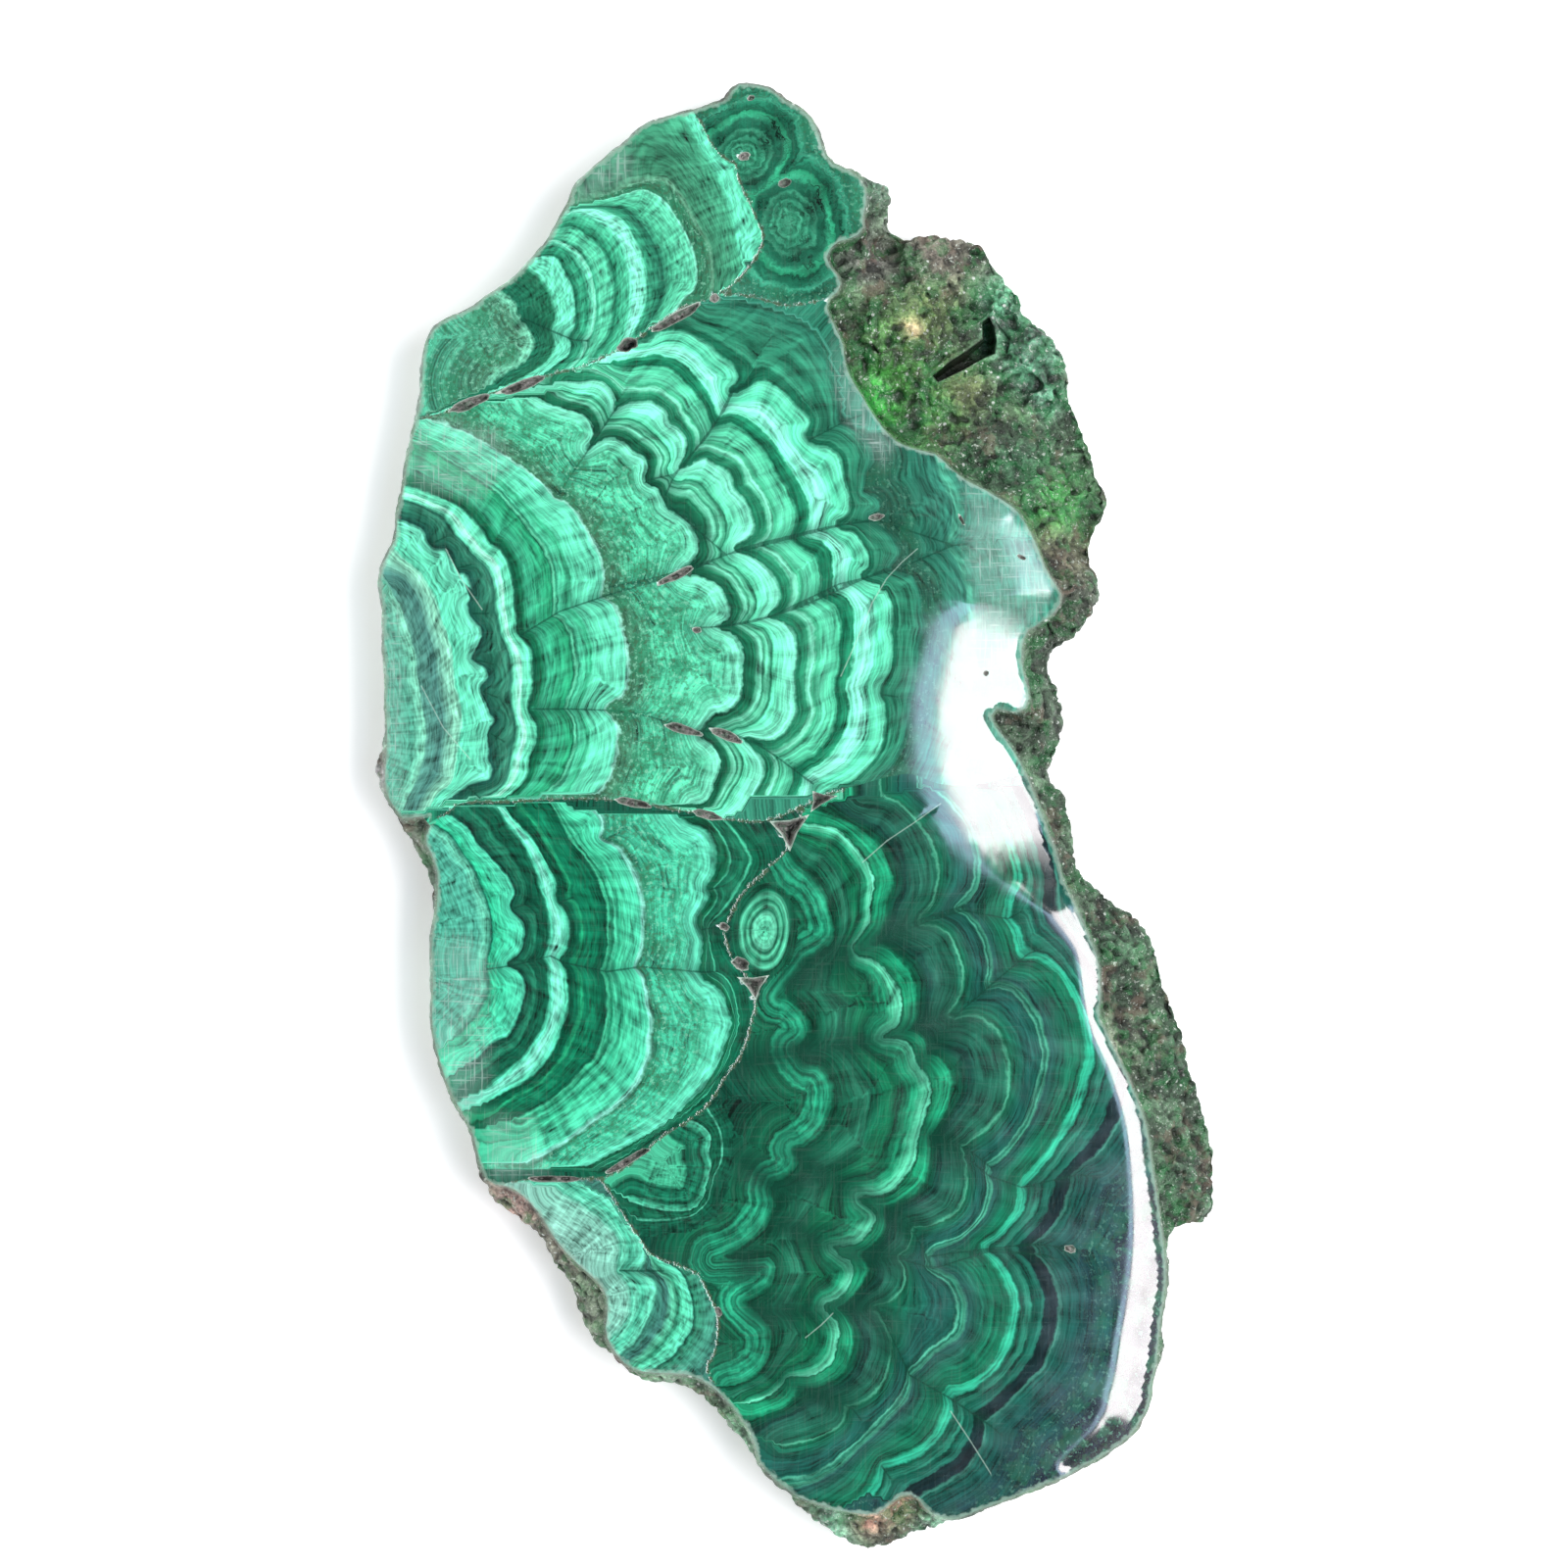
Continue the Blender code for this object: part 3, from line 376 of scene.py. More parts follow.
# Tints of the rind: x, y and radius in pixels, then red, green and blue (0 to 255)
RIND_TINT = (62, 84, 64)
RIND_TINTS = [
    (400, 640, 130, 122, 158, 140), (430, 400, 90, 120, 156, 138), (520, 270, 80, 120, 156, 138),
    (430, 1000, 70, 112, 150, 130), (620, 150, 60, 124, 160, 142), (400, 860, 26, 104, 100, 92),
    (383, 790, 18, 132, 128, 130), (460, 1130, 30, 110, 138, 118), (905, 330, 44, 66, 104, 56),
    (895, 410, 40, 38, 138, 52), (930, 370, 36, 62, 122, 52), (950, 420, 40, 60, 112, 52),
    (1078, 515, 40, 36, 124, 48), (1040, 470, 30, 52, 92, 66), (955, 310, 34, 88, 112, 62),
    (960, 250, 40, 122, 114, 104), (895, 180, 26, 70, 96, 80), (890, 262, 30, 84, 80, 78),
    (1027, 304, 24, 104, 172, 134), (1054, 357, 36, 100, 166, 130), (1067, 401, 16, 108, 176, 140),
    (1040, 420, 20, 80, 112, 78), (990, 395, 28, 92, 104, 66), (930, 335, 12, 176, 152, 120),
    (1085, 570, 34, 96, 88, 74), (1090, 625, 44, 48, 52, 44), (1050, 740, 52, 52, 66, 52),
    (1040, 690, 26, 44, 60, 48), (1145, 960, 40, 46, 76, 54), (1145, 1075, 24, 148, 156, 134),
    (1190, 1090, 38, 40, 62, 46), (1215, 1200, 42, 48, 74, 54), (525, 1230, 34, 158, 132, 124),
    (560, 1280, 32, 122, 122, 108), (600, 1350, 32, 112, 124, 106), (680, 1412, 28, 104, 140, 112),
    (760, 1470, 28, 104, 146, 116), (860, 1560, 26, 118, 178, 146), (885, 1556, 20, 140, 100, 88),
    (922, 1540, 20, 132, 94, 80), (960, 1560, 28, 96, 150, 118),
]


def pairs(text: str) -> np.ndarray:
    """Reads places written as text."""
    return np.array([float(word) for word in text.split()]).reshape(-1, 2)


def to_metres(pixels: np.ndarray) -> np.ndarray:
    """Turns places of the picture into places on the slab."""
    return (np.asarray(pixels, float) - MIDDLE) * (PIXEL, -PIXEL)


def to_pixels(points: np.ndarray) -> np.ndarray:
    """Turns places on the slab into places of the picture."""
    return points[:, :2] / (PIXEL, -PIXEL) + MIDDLE


def curved(knots: np.ndarray, step: float = 4.0) -> np.ndarray:
    """Draws a smooth open curve through a few places.

    Args:
        knots: the places, in order.
        step: how far apart the curve's points are, about.

    Returns:
        The curve's points, the first and the last place among them.
    """
    if len(knots) < 3:
        return knots
    ends = np.vstack([2 * knots[0] - knots[1], knots, 2 * knots[-1] - knots[-2]])
    made = []
    for before, a, b, after in zip(ends, ends[1:], ends[2:], ends[3:]):
        count = max(1, round(float(np.linalg.norm(b - a)) / step))
        t = (np.arange(count) / count)[:, None]
        bend = (2 * before - 5 * a + 4 * b - after) * t**2 + (3 * a - before - 3 * b + after) * t**3
        made.append(0.5 * (2 * a + (b - before) * t + bend))
    return np.vstack(made + [knots[-1:]])


def growth_line(text: str) -> np.ndarray:
    """Draws one growth line: smooth along each lobe, sharp where two lobes meet."""
    return np.vstack([curved(pairs(lobe)) for lobe in text.split("|")])


def closed_curve(pixels: np.ndarray, step: float) -> np.ndarray:
    """Draws a smooth closed curve, as the solid's own outline is drawn.

    Args:
        pixels: the places it passes through.
        step: how far apart its points are, in metres.

    Returns:
        The curve's points, in metres.
    """
    knots = to_metres(pixels)
    fine = []
    rolled = (np.roll(knots, 1, 0), knots, np.roll(knots, -1, 0), np.roll(knots, -2, 0))
    for before, a, b, after in zip(*rolled):
        for t in np.linspace(0, 1, 8, endpoint=False):
            bend = (2 * before - 5 * a + 4 * b - after) * t**2 + (3 * a - before - 3 * b + after) * t**3
            fine.append(0.5 * (2 * a + (b - before) * t + bend))
    fine = np.array(fine)
    lengths = np.linalg.norm(np.roll(fine, -1, 0) - fine, axis=1)
    travelled = np.concatenate([[0], np.cumsum(lengths)])
    wanted = np.linspace(0, travelled[-1], round(travelled[-1] / step), endpoint=False)
    closed = np.vstack([fine, fine[:1]])
    return np.column_stack([np.interp(wanted, travelled, closed[:, k]) for k in (0, 1)])


def nearest_on(points: np.ndarray, line: np.ndarray, closed: bool = False) -> tuple[np.ndarray, np.ndarray]:
    """Measures how far places are from a line of straight stretches.

    Args:
        points: the places.
        line: the line's points.
        closed: True when the line comes back to its first point.

    Returns:
        Each place's distance, and how far along the line its nearest point is, in stretches.
    """
    starts = line if closed else line[:-1]
    stops = np.roll(line, -1, 0) if closed else line[1:]
    best = np.full(len(points), np.inf)
    where = np.zeros(len(points))
    for index, (a, run) in enumerate(zip(starts, stops - starts)):
        t = np.clip(((points - a) @ run) / max(float(run @ run), 1e-18), 0, 1)
        apart = np.hypot(points[:, 0] - a[0] - t * run[0], points[:, 1] - a[1] - t * run[1])
        closer = apart < best
        where[closer] = index + t[closer]
        best = np.minimum(best, apart)
    return best, where


def nearest_index(points: np.ndarray, spot: np.ndarray) -> int:
    """Finds which of many points is nearest to one spot."""
    return int(np.argmin(np.hypot(*(points - spot).T)))


def inside(points: np.ndarray, loop: np.ndarray) -> np.ndarray:
    """Tells which places lie inside a closed loop.

    Args:
        points: the places.
        loop: the loop's points.

    Returns:
        True for each place inside.
    """
    found = np.zeros(len(points), bool)
    for a, b in zip(loop, np.roll(loop, -1, 0)):
        if a[1] != b[1]:
            crosses = (a[1] > points[:, 1]) != (b[1] > points[:, 1])
            found ^= crosses & (points[:, 0] < a[0] + (points[:, 1] - a[1]) / (b[1] - a[1]) * (b[0] - a[0]))
    return found


def gap_to(points: np.ndarray, lines: list[np.ndarray], step: float) -> np.ndarray:
    """Measures how far places are from the nearest of many lines, quickly, from marks set along the lines.

    Args:
        points: the places.
        lines: the lines' points.
        step: how far apart the marks are.

    Returns:
        Each place's distance, at most half a step too long.
    """
    marks = []
    for line in lines:
        for a, b in zip(line, line[1:]):
            count = max(1, math.ceil(float(np.hypot(*(b - a))) / step))
            marks.append(a + (b - a) * (np.arange(count + 1) / count)[:, None])
    marks = np.vstack(marks)
    tree = kdtree.KDTree(len(marks))
    for index, (x, y) in enumerate(marks.tolist()):
        tree.insert((x, y, 0), index)
    tree.balance()
    return np.array([tree.find((x, y, 0))[2] for x, y in points.tolist()])


def smoothstep(value: np.ndarray) -> np.ndarray:
    """Rises evenly from 0 to 1."""
    value = np.clip(value, 0, 1)
    return value * value * (3 - 2 * value)


@dataclass(frozen=True)
class Growth:
    """One growth of the stone: its lines, one outside another, and the tones between them."""

    name: str
    start: float
    root: tuple[tuple[float, float], ...]
    lines: list[str]
    tones: str
    light: float = 1.0
    warm: float = 0.9
    inner: float = 60.0
    outer: float = 60.0
    lag: float = 6.0

    def measure(self, spots: np.ndarray, rib: np.ndarray) -> tuple[np.ndarray, np.ndarray, np.ndarray]:
        """Finds how far the growth had come at each place.

        Args:
            spots: places in pixels.
            rib: how far each is from the nearest rib, in pixels.

        Returns:
            The number of lines passed, with the share of the way to the next; the place along the lines; and
            how thick the stone had grown, in pixels.
        """
        drawn = [growth_line(text) for text in self.lines]
        measured = [nearest_on(spots, line) for line in drawn]
        gaps = np.array([gap for gap, _ in measured])
        runs = np.array([run / len(line) for (_, run), line in zip(measured, drawn)])
        held = np.array([inside(spots, np.vstack([line, self.root])) for line in drawn])
        passed = np.where(held.any(0), held.argmax(0), len(drawn))
        each = np.arange(len(spots))
        low, high = np.maximum(passed - 1, 0), np.minimum(passed, len(drawn) - 1)
        share = gaps[low, each] / np.maximum(gaps[low, each] + gaps[high, each], 1e-6)
        reach = passed + share
        reach = np.where(passed == 0, np.maximum(1 - gaps[0] / self.inner, 0), reach)
        reach = np.where(passed == len(drawn), passed + gaps[-1] / self.outer, reach)
        middle = (passed > 0) & (passed < len(drawn))
        along = np.where(middle, (1 - share) * runs[low, each] + share * runs[high, each], runs[high, each])
        both = gaps[low, each] + gaps[high, each]
        widths = [float(np.median(both[passed == i])) if (passed == i).any() else 20.0 for i in range(1, len(drawn))]
        grown = np.concatenate([[0, self.inner], self.inner + np.cumsum(widths)])
        thick = grown[np.minimum(passed, len(drawn))] + share * np.append([0, *widths], 0)[passed]
        thick = np.where(passed == 0, self.inner - gaps[0], thick)
        thick = np.where(passed == len(drawn), grown[-1] + gaps[-1], thick)
        lag = self.lag * np.exp(-rib / 7) * (passed > 0)
        reach = reach + lag / np.array([self.inner, *widths, self.outer])[passed]
        return reach, along, thick + lag


def ribs_of(growth: Growth, reach: float = 95.0, stub: float = 15.0) -> list[np.ndarray]:
    """Draws the fine lines that run outward through the notches between lobes.

    Args:
        growth: the growth.
        reach: how far the next line's notch may be, in pixels.
        stub: how long a line is that meets no further notch.

    Returns:
        The lines' points, in pixels.
    """
    notches = []
    for text in growth.lines:
        lobes = [pairs(lobe) for lobe in text.split("|")]
        notches.append([(a[-1] + b[0]) / 2 for a, b in zip(lobes, lobes[1:])])
    root = np.array(growth.root).mean(0)
    made = []
    for here, beyond in zip(notches, notches[1:] + [[]]):
        for notch in here:
            outward = (notch - root) / np.linalg.norm(notch - root)
            ahead = [(float(np.linalg.norm(far - notch)), far) for far in beyond]
            ahead = [(gap, far) for gap, far in ahead if gap < reach and (far - notch) @ outward > 0.45 * gap]
            end = min(ahead, key=lambda item: item[0])[1] if ahead else notch + outward * stub
            count = max(2, round(float(np.linalg.norm(end - notch)) / 4))
            made.append(notch + (end - notch) * np.linspace(0, 1, count)[:, None])
    return made


@dataclass(frozen=True)
class Eyes:
    """Round growths seen whole: rings about one or two middles."""

    name: str
    start: float
    middles: list[tuple[float, float, float, float]]
    tones: str
    light: float = 1.0
    warm: float = 0.86

    def measure(self, spots: np.ndarray, rib: np.ndarray) -> tuple[np.ndarray, np.ndarray, np.ndarray]:
        """Finds how far the nearest eye's growth had come at each place.

        Args:
            spots: places in pixels.
            rib: not used, because an eye has no ribs.

        Returns:
            The reach of the growth, the turn about the eye's middle, and the distance from it in pixels.
        """
        reach, turn = np.full(len(spots), np.inf), np.zeros(len(spots))
        for x, y, wide, high in self.middles:
            away = (spots - (x, y)) / (wide, high)
            far = np.hypot(away[:, 0], away[:, 1])
            turned = np.arctan2(away[:, 1], away[:, 0])
            wobble = 1 + 0.07 * np.sin(2 * turned + x) + 0.03 * np.sin(3 * turned + y)
            closer = far < reach
            turn[closer] = (turned / 20)[closer]
            reach = np.minimum(reach, far * wobble)
        return reach, turn, reach * 10


class DrawnIn(Enum):
    """What a noise is drawn along: one number, the plane of the face, or the whole stone."""

    LINE = "1D"
    FACE = "2D"
    STONE = "3D"


@dataclass(frozen=True)
class Finish:
    """Common to all finishes: the name of the material and how it is started."""

    name: str

    def begin(self, drawn_in: DrawnIn = DrawnIn.STONE) -> tuple[bpy.types.Material, "Sketch"]:
        """Starts the material.

        Args:
            drawn_in: what its noise is drawn in.

        Returns:
            The material, and a sketch to draw its nodes with.
        """
        material = bpy.data.materials.new(self.name)
        material.use_nodes = True
        return material, Sketch(material.node_tree, drawn_in)


@dataclass
class Sketch:
    """Draws the nodes of one material."""

    tree: bpy.types.NodeTree
    drawn_in: DrawnIn = DrawnIn.STONE

    def node(self, kind: str, inputs: dict | None = None, **settings: object) -> bpy.types.Node:
        """Adds a node.

        Args:
            kind: the node's type, without its prefix.
            inputs: values or sockets for its inputs, by name or number.
            settings: the node's own settings.

        Returns:
            The node.
        """
        made = self.tree.nodes.new("ShaderNode" + kind)
        for name, value in settings.items():
            setattr(made, name, value)
        for name, value in (inputs or {}).items():
            if isinstance(value, Socket):
                self.tree.links.new(value, made.inputs[name])
            else:
                made.inputs[name].default_value = value
        return made

    def shader(self) -> bpy.types.Node:
        """Finds the material's main shader."""
        return self.tree.nodes["Principled BSDF"]

    def math(self, operation: str, a: Number, b: Number = 0.0) -> Socket:
        """Works out one sum of two numbers, by the operation's name."""
        return self.node("Math", {0: a, 1: b}, operation=operation).outputs[0]

    def times(self, a: Number, b: Number) -> Socket:
        """Multiplies two numbers."""
        return self.math("MULTIPLY", a, b)

    def plus(self, a: Number, b: Number) -> Socket:
        """Adds two numbers."""
        return self.math("ADD", a, b)

    def spread(self, value: Number, low: float, high: float, to_low: float = 0.0, to_high: float = 1.0) -> Socket:
        """Spreads a number from one range, low to high, over another, held at its ends."""
        return self.node("MapRange", {0: value, 1: low, 2: high, 3: to_low, 4: to_high}).outputs[0]

    def mixed(self, share: Number, a: object, b: object, blend: str = "MIX") -> Socket:
        """Mixes a share of the second colour into the first, in the way that blend names."""
        return self.node("Mix", {0: share, 6: a, 7: b}, data_type="RGBA", blend_type=blend).outputs[2]

    def tinted(self, color: Socket, share: Socket, rgb: tuple[int, int, int], strength: float = 1.0) -> Socket:
        """Lays a plain tint, red, green and blue from 0 to 255, over a share of a colour."""
        amount = share if strength == 1.0 else self.times(share, strength)
        return self.mixed(amount, color, (*linear(*rgb), 1))

    def shaded(self, color: Socket, factor: Socket) -> Socket:
        """Makes a colour brighter or darker by a factor."""
        shade = self.node("CombineXYZ", {0: factor, 1: factor, 2: factor}).outputs[0]
        return self.mixed(1.0, color, shade, "MULTIPLY")

    def ramp(self, value: Socket, stops: list) -> tuple[Socket, Socket]:
        """Colours a number by a run of tones.

        Args:
            value: the number, 0 to 1.
            stops: each tone's place, then its red, green, blue and alpha.

        Returns:
            The colour and the alpha.
        """
        made = self.node("ValToRGB", {0: value})
        elements = made.color_ramp.elements
        for index, (at, rgba) in enumerate(stops):
            element = elements[index] if index < 2 else elements.new(1.0)
            element.position = at
            element.color = rgba
        return made.outputs[0], made.outputs[1]

    def grain(self, place: Socket, size: float, detail: float = 2.0, rough: float = 0.5) -> Socket:
        """Draws cloudy noise of the given size; detail is its finer layers, and rough their strength."""
        inputs = {"Vector": place, "Scale": 1 / size, "Detail": detail, "Roughness": rough}
        return self.node("TexNoise", inputs, noise_dimensions=self.drawn_in.value).outputs["Fac"]

    def streaks(self, value: Socket, rate: float, detail: float = 2.0) -> Socket:
        """Draws noise that changes along one number only, as fast as the rate says."""
        inputs = {"W": self.times(value, rate), "Scale": 1.0, "Detail": detail}
        return self.node("TexNoise", inputs, noise_dimensions=DrawnIn.LINE.value).outputs["Fac"]

    def attribute(self, name: str, output: str = "Fac") -> Socket:
        """Reads a value that the mesh carries."""
        return self.node("Attribute", attribute_name=name).outputs[output]

    def place(self) -> Socket:
        """Gives the place on the stone, in metres."""
        return self.node("TexCoord").outputs["Object"]

    def bump(self, height: Socket, depth: float, before: Socket | None = None) -> Socket:
        """Turns heights into relief.

        Args:
            height: the heights, 0 to 1.
            depth: how deep the relief is, in metres.
            before: relief to add to.

        Returns:
            The bent normal.
        """
        inputs = {"Height": height, "Distance": depth, "Strength": 1.0}
        if before:
            inputs["Normal"] = before
        return self.node("Bump", inputs).outputs[0]

    def dress(self, color: Socket, rough: Socket, normal: Socket) -> None:
        """Gives the main shader its colour, its roughness and its relief."""
        for name, socket in (("Base Color", color), ("Roughness", rough), ("Normal", normal)):
            self.tree.links.new(socket, self.shader().inputs[name])


def linear(red: float, green: float, blue: float) -> tuple[float, float, float]:
    """Turns a colour as it is seen on a screen, 0 to 255, into amounts of light, 0 to 1."""
    return tuple((v / 255 / 12.92) if v < 10.3 else ((v / 255 + 0.055) / 1.055) ** 2.4 for v in (red, green, blue))


def tone_stops(text: str, start: float, gain: float, warm: float) -> list[tuple[float, tuple, float]]:
    """Reads a run of tones.

    Args:
        text: the tones as they are written above.
        start: what is added to each place.
        gain: how bright the growth is as a whole.
        warm: how much red is left in it.

    Returns:
        Each tone's place, its amounts of light, and how speckled it is.
    """
    found = []
    for entry in filter(str.strip, text.replace("\n", ";").split(";")):
        numbers, _, speckled = entry.partition("|")
        at, *rgb = (float(word) for word in numbers.split())
        light = [amount * share * gain for amount, share in zip(linear(*rgb), (warm, 1.0, BLUE_GAIN))]
        found.append((start + at, tuple(light), float(speckled or 0)))
    return found


@dataclass(frozen=True)
class Polish(Finish):
    """The mirror polish, with the growth's bands drawn through it."""

    name: str = "polished_malachite"
    roughness: float = 0.13
    refraction: float = 1.85
    # Light and dark drawn out along the growth: rate outward, rate along the lines, strength
    layers: tuple[tuple[float, float, float], ...] = (
        (0.11, 16.0, 0.3), (0.4, 22.0, 0.34), (0.75, 9.0, 0.18), (0.03, 420.0, 0.08), (0.012, 46.0, 0.28),
    )
    knob_waver: float = 7.0

    def bands(self, sketch: Sketch, reach: Socket, growths: list) -> tuple[Socket, Socket]:
        """Colours the stone by how far its growth had come.

        Args:
            sketch: draws the nodes.
            reach: how far the growth had come.
            growths: the growths of the stone.

        Returns:
            The colour, and how speckled the stone is.
        """
        color, speckled = None, None
        for growth in sorted(growths, key=lambda g: g.start):
            stops = tone_stops(growth.tones, growth.start, growth.light, growth.warm)
            for first in range(0, max(len(stops) - 1, 1), RAMP_STOPS - 1):
                part = stops[first : first + RAMP_STOPS]
                low, high = part[0][0], part[-1][0]
                places = [((at - low) / (high - low), (*rgb, amount)) for at, rgb, amount in part]
                ramp = sketch.ramp(sketch.spread(reach, low, high), places)
                if color is None:
                    color, speckled = ramp
                else:
                    beyond = sketch.math("GREATER_THAN", reach, low if first else low - 2.0)
                    color = sketch.mixed(beyond, color, ramp[0])
                    speckled = sketch.node("Mix", {0: beyond, 2: speckled, 3: ramp[1]}).outputs[0]
        return color, speckled

    def brightness(self, sketch: Sketch, thick: Socket, along: Socket) -> Socket:
        """Draws the layers of light and dark that follow the growth lines or cross them.

        Args:
            sketch: draws the nodes.
            thick: how thick the stone had grown.
            along: the place along the lines.

        Returns:
            The brightness, about 1.
        """
        factor = 1.0
        for rate, turns, amount in self.layers:
            ways = {0: sketch.times(thick, rate), 1: sketch.times(along, turns)}
            place = sketch.node("CombineXYZ", ways).outputs[0]
            factor = sketch.plus(factor, sketch.spread(sketch.grain(place, 1.0, 1.5), 0.28, 0.72, -amount, amount))
        return factor

    def rib_shade(self, sketch: Sketch, place: Socket, reach: Socket) -> Socket:
        """Draws the dark ribs between lobes: a thin line, a soft one, and a wide one where the right fan starts.

        Args:
            sketch: draws the nodes.
            place: the place on the stone.
            reach: how far the growth had come.

        Returns:
            How dark the rib is.
        """
        rib = sketch.attribute("rib")
        fading = sketch.spread(reach, RIGHT_START + 4.2, RIGHT_START + 2.6)
        first_lines = sketch.times(sketch.math("GREATER_THAN", reach, RIGHT_START - 1.0), fading)
        wide = sketch.times(sketch.spread(rib, 27.0, 3.0, 0.0, 0.82), first_lines)
        soft = sketch.math("MAXIMUM", sketch.spread(rib, 13.0, 0.0, 0.0, 0.5), wide)
        ragged = sketch.plus(rib, sketch.times(sketch.grain(place, 0.6 * MM), 1.4))
        return sketch.math("MAXIMUM", soft, sketch.spread(ragged, 2.6, 1.3, 0.0, 0.8))

    def brushed(self, sketch: Sketch, place: Socket, turn: float, scale: tuple, size: float, low: float) -> Socket:
        """Draws fine parallel scratches.

        Args:
            sketch: draws the nodes.
            place: the place on the stone.
            turn: which way they run, in radians.
            scale: how far they are drawn out.
            size: how far apart they are, in metres.
            low: how much noise makes a scratch.

        Returns:
            The scratches, 0 to 1.
        """
        inputs = {"Vector": place, "Rotation": (0, 0, turn), "Scale": scale}
        drawn_out = sketch.node("Mapping", inputs).outputs[0]
        return sketch.spread(sketch.grain(drawn_out, size, 2.0, 0.8), low, low + 0.16)

    def material(self, growths: list) -> bpy.types.Material:
        """Makes the finish.

        Args:
            growths: the stone's growths, for their tones.

        Returns:
            The material.
        """
        material, sketch = self.begin(DrawnIn.FACE)
        place = sketch.place()
        waver = sketch.math("SUBTRACT", sketch.grain(place, 2.2 * MM, 3.0, 0.55), 0.5)
        shiver = sketch.math("SUBTRACT", sketch.grain(place, 0.5 * MM, 2.0), 0.5)
        moved = sketch.plus(sketch.times(waver, 0.14), sketch.times(shiver, 0.05))
        plain = sketch.attribute("growth")
        past_knob = sketch.math("LESS_THAN", plain, OVAL_START - 1.0)
        knobbed = sketch.times(sketch.math("GREATER_THAN", plain, KNOB_START - 1.0), past_knob)
        moved = sketch.times(moved, sketch.plus(sketch.times(knobbed, self.knob_waver), 1.0))
        reach = sketch.plus(plain, moved)
        color, speckled = self.bands(sketch, reach, growths)
        thick = sketch.plus(sketch.attribute("grown"), sketch.times(moved, 26.0))
        color = sketch.shaded(color, self.brightness(sketch, thick, sketch.attribute("along")))
        color = sketch.tinted(color, self.rib_shade(sketch, place, reach), (8, 62, 46))

        specks = sketch.grain(place, 0.55 * MM, 3.0, 0.7)
        mottles = sketch.grain(place, 2.7 * MM, 4.0, 0.6)
        color = sketch.tinted(color, sketch.times(sketch.spread(mottles, 0.5, 0.58), speckled), (44, 132, 94), 0.75)
        color = sketch.tinted(color, sketch.times(sketch.spread(specks, 0.54, 0.62), speckled), (62, 92, 66), 0.75)
        color = sketch.tinted(color, sketch.times(sketch.spread(specks, 0.42, 0.34), speckled), (150, 225, 190), 0.5)

        ragged = sketch.plus(sketch.attribute("seam"), sketch.times(sketch.grain(place, 0.7 * MM, 3.0, 0.7), 0.9))
        brown = sketch.times(sketch.spread(ragged, 0.62, 0.42), 0.85)
        color = sketch.tinted(color, brown, (70, 88, 62))

        steep = self.brushed(sketch, place, 0.9, (1, 0.05, 1), 0.25 * MM, 0.56)
        level = self.brushed(sketch, place, 0.15, (0.06, 1, 1), 0.3 * MM, 0.58)
        dull_haze_and_sheen = sketch.attribute("dull_haze_and_sheen")
        # Painted sheen: a cloudy pale grey-green over the dulled patches, standing in for light reflected by their
        # fine scratches
        sheen_cloud = sketch.spread(sketch.grain(place, 4 * MM, 4.0, 0.6), 0.2, 0.7, 0.12, 0.38)
        color = sketch.tinted(color, sketch.times(dull_haze_and_sheen, sheen_cloud), (124, 168, 152))
        # Painted sheen: the fine scratches are made pale, faintly everywhere and strongly in the dulled patches, as
        # the light they reflect
        seen = sketch.plus(sketch.times(dull_haze_and_sheen, 0.45), 0.03)
        color = sketch.tinted(color, sketch.times(sketch.math("MAXIMUM", steep, level), seen), (180, 205, 195))

        cut = sketch.plus(sketch.attribute("scratch"), sketch.times(specks, 0.8))
        color = sketch.tinted(color, sketch.spread(cut, 1.3, 0.7, 0.0, 0.4), (190, 220, 205))
        rim = sketch.plus(sketch.attribute("edge"), sketch.times(sketch.grain(place, 0.8 * MM, 3.0), 0.8))
        worn = sketch.spread(rim, 0.75, 0.45)
        color = sketch.tinted(color, worn, (128, 166, 146), 0.7)

        clouds = sketch.grain(place, 3 * MM, 4.0)
        smooth = sketch.spread(clouds, 0.3, 0.7, self.roughness - 0.04, self.roughness + 0.05)
        rough = sketch.plus(smooth, sketch.plus(sketch.times(worn, 0.35), sketch.times(dull_haze_and_sheen, 0.12)))
        sketch.shader().inputs["IOR"].default_value = self.refraction
        relief = sketch.bump(sketch.times(brown, -0.7), 0.05 * MM)
        sketch.dress(color, rough, sketch.bump(sketch.grain(place, 6 * MM, 1.0), 0.012 * MM, relief))
        return material


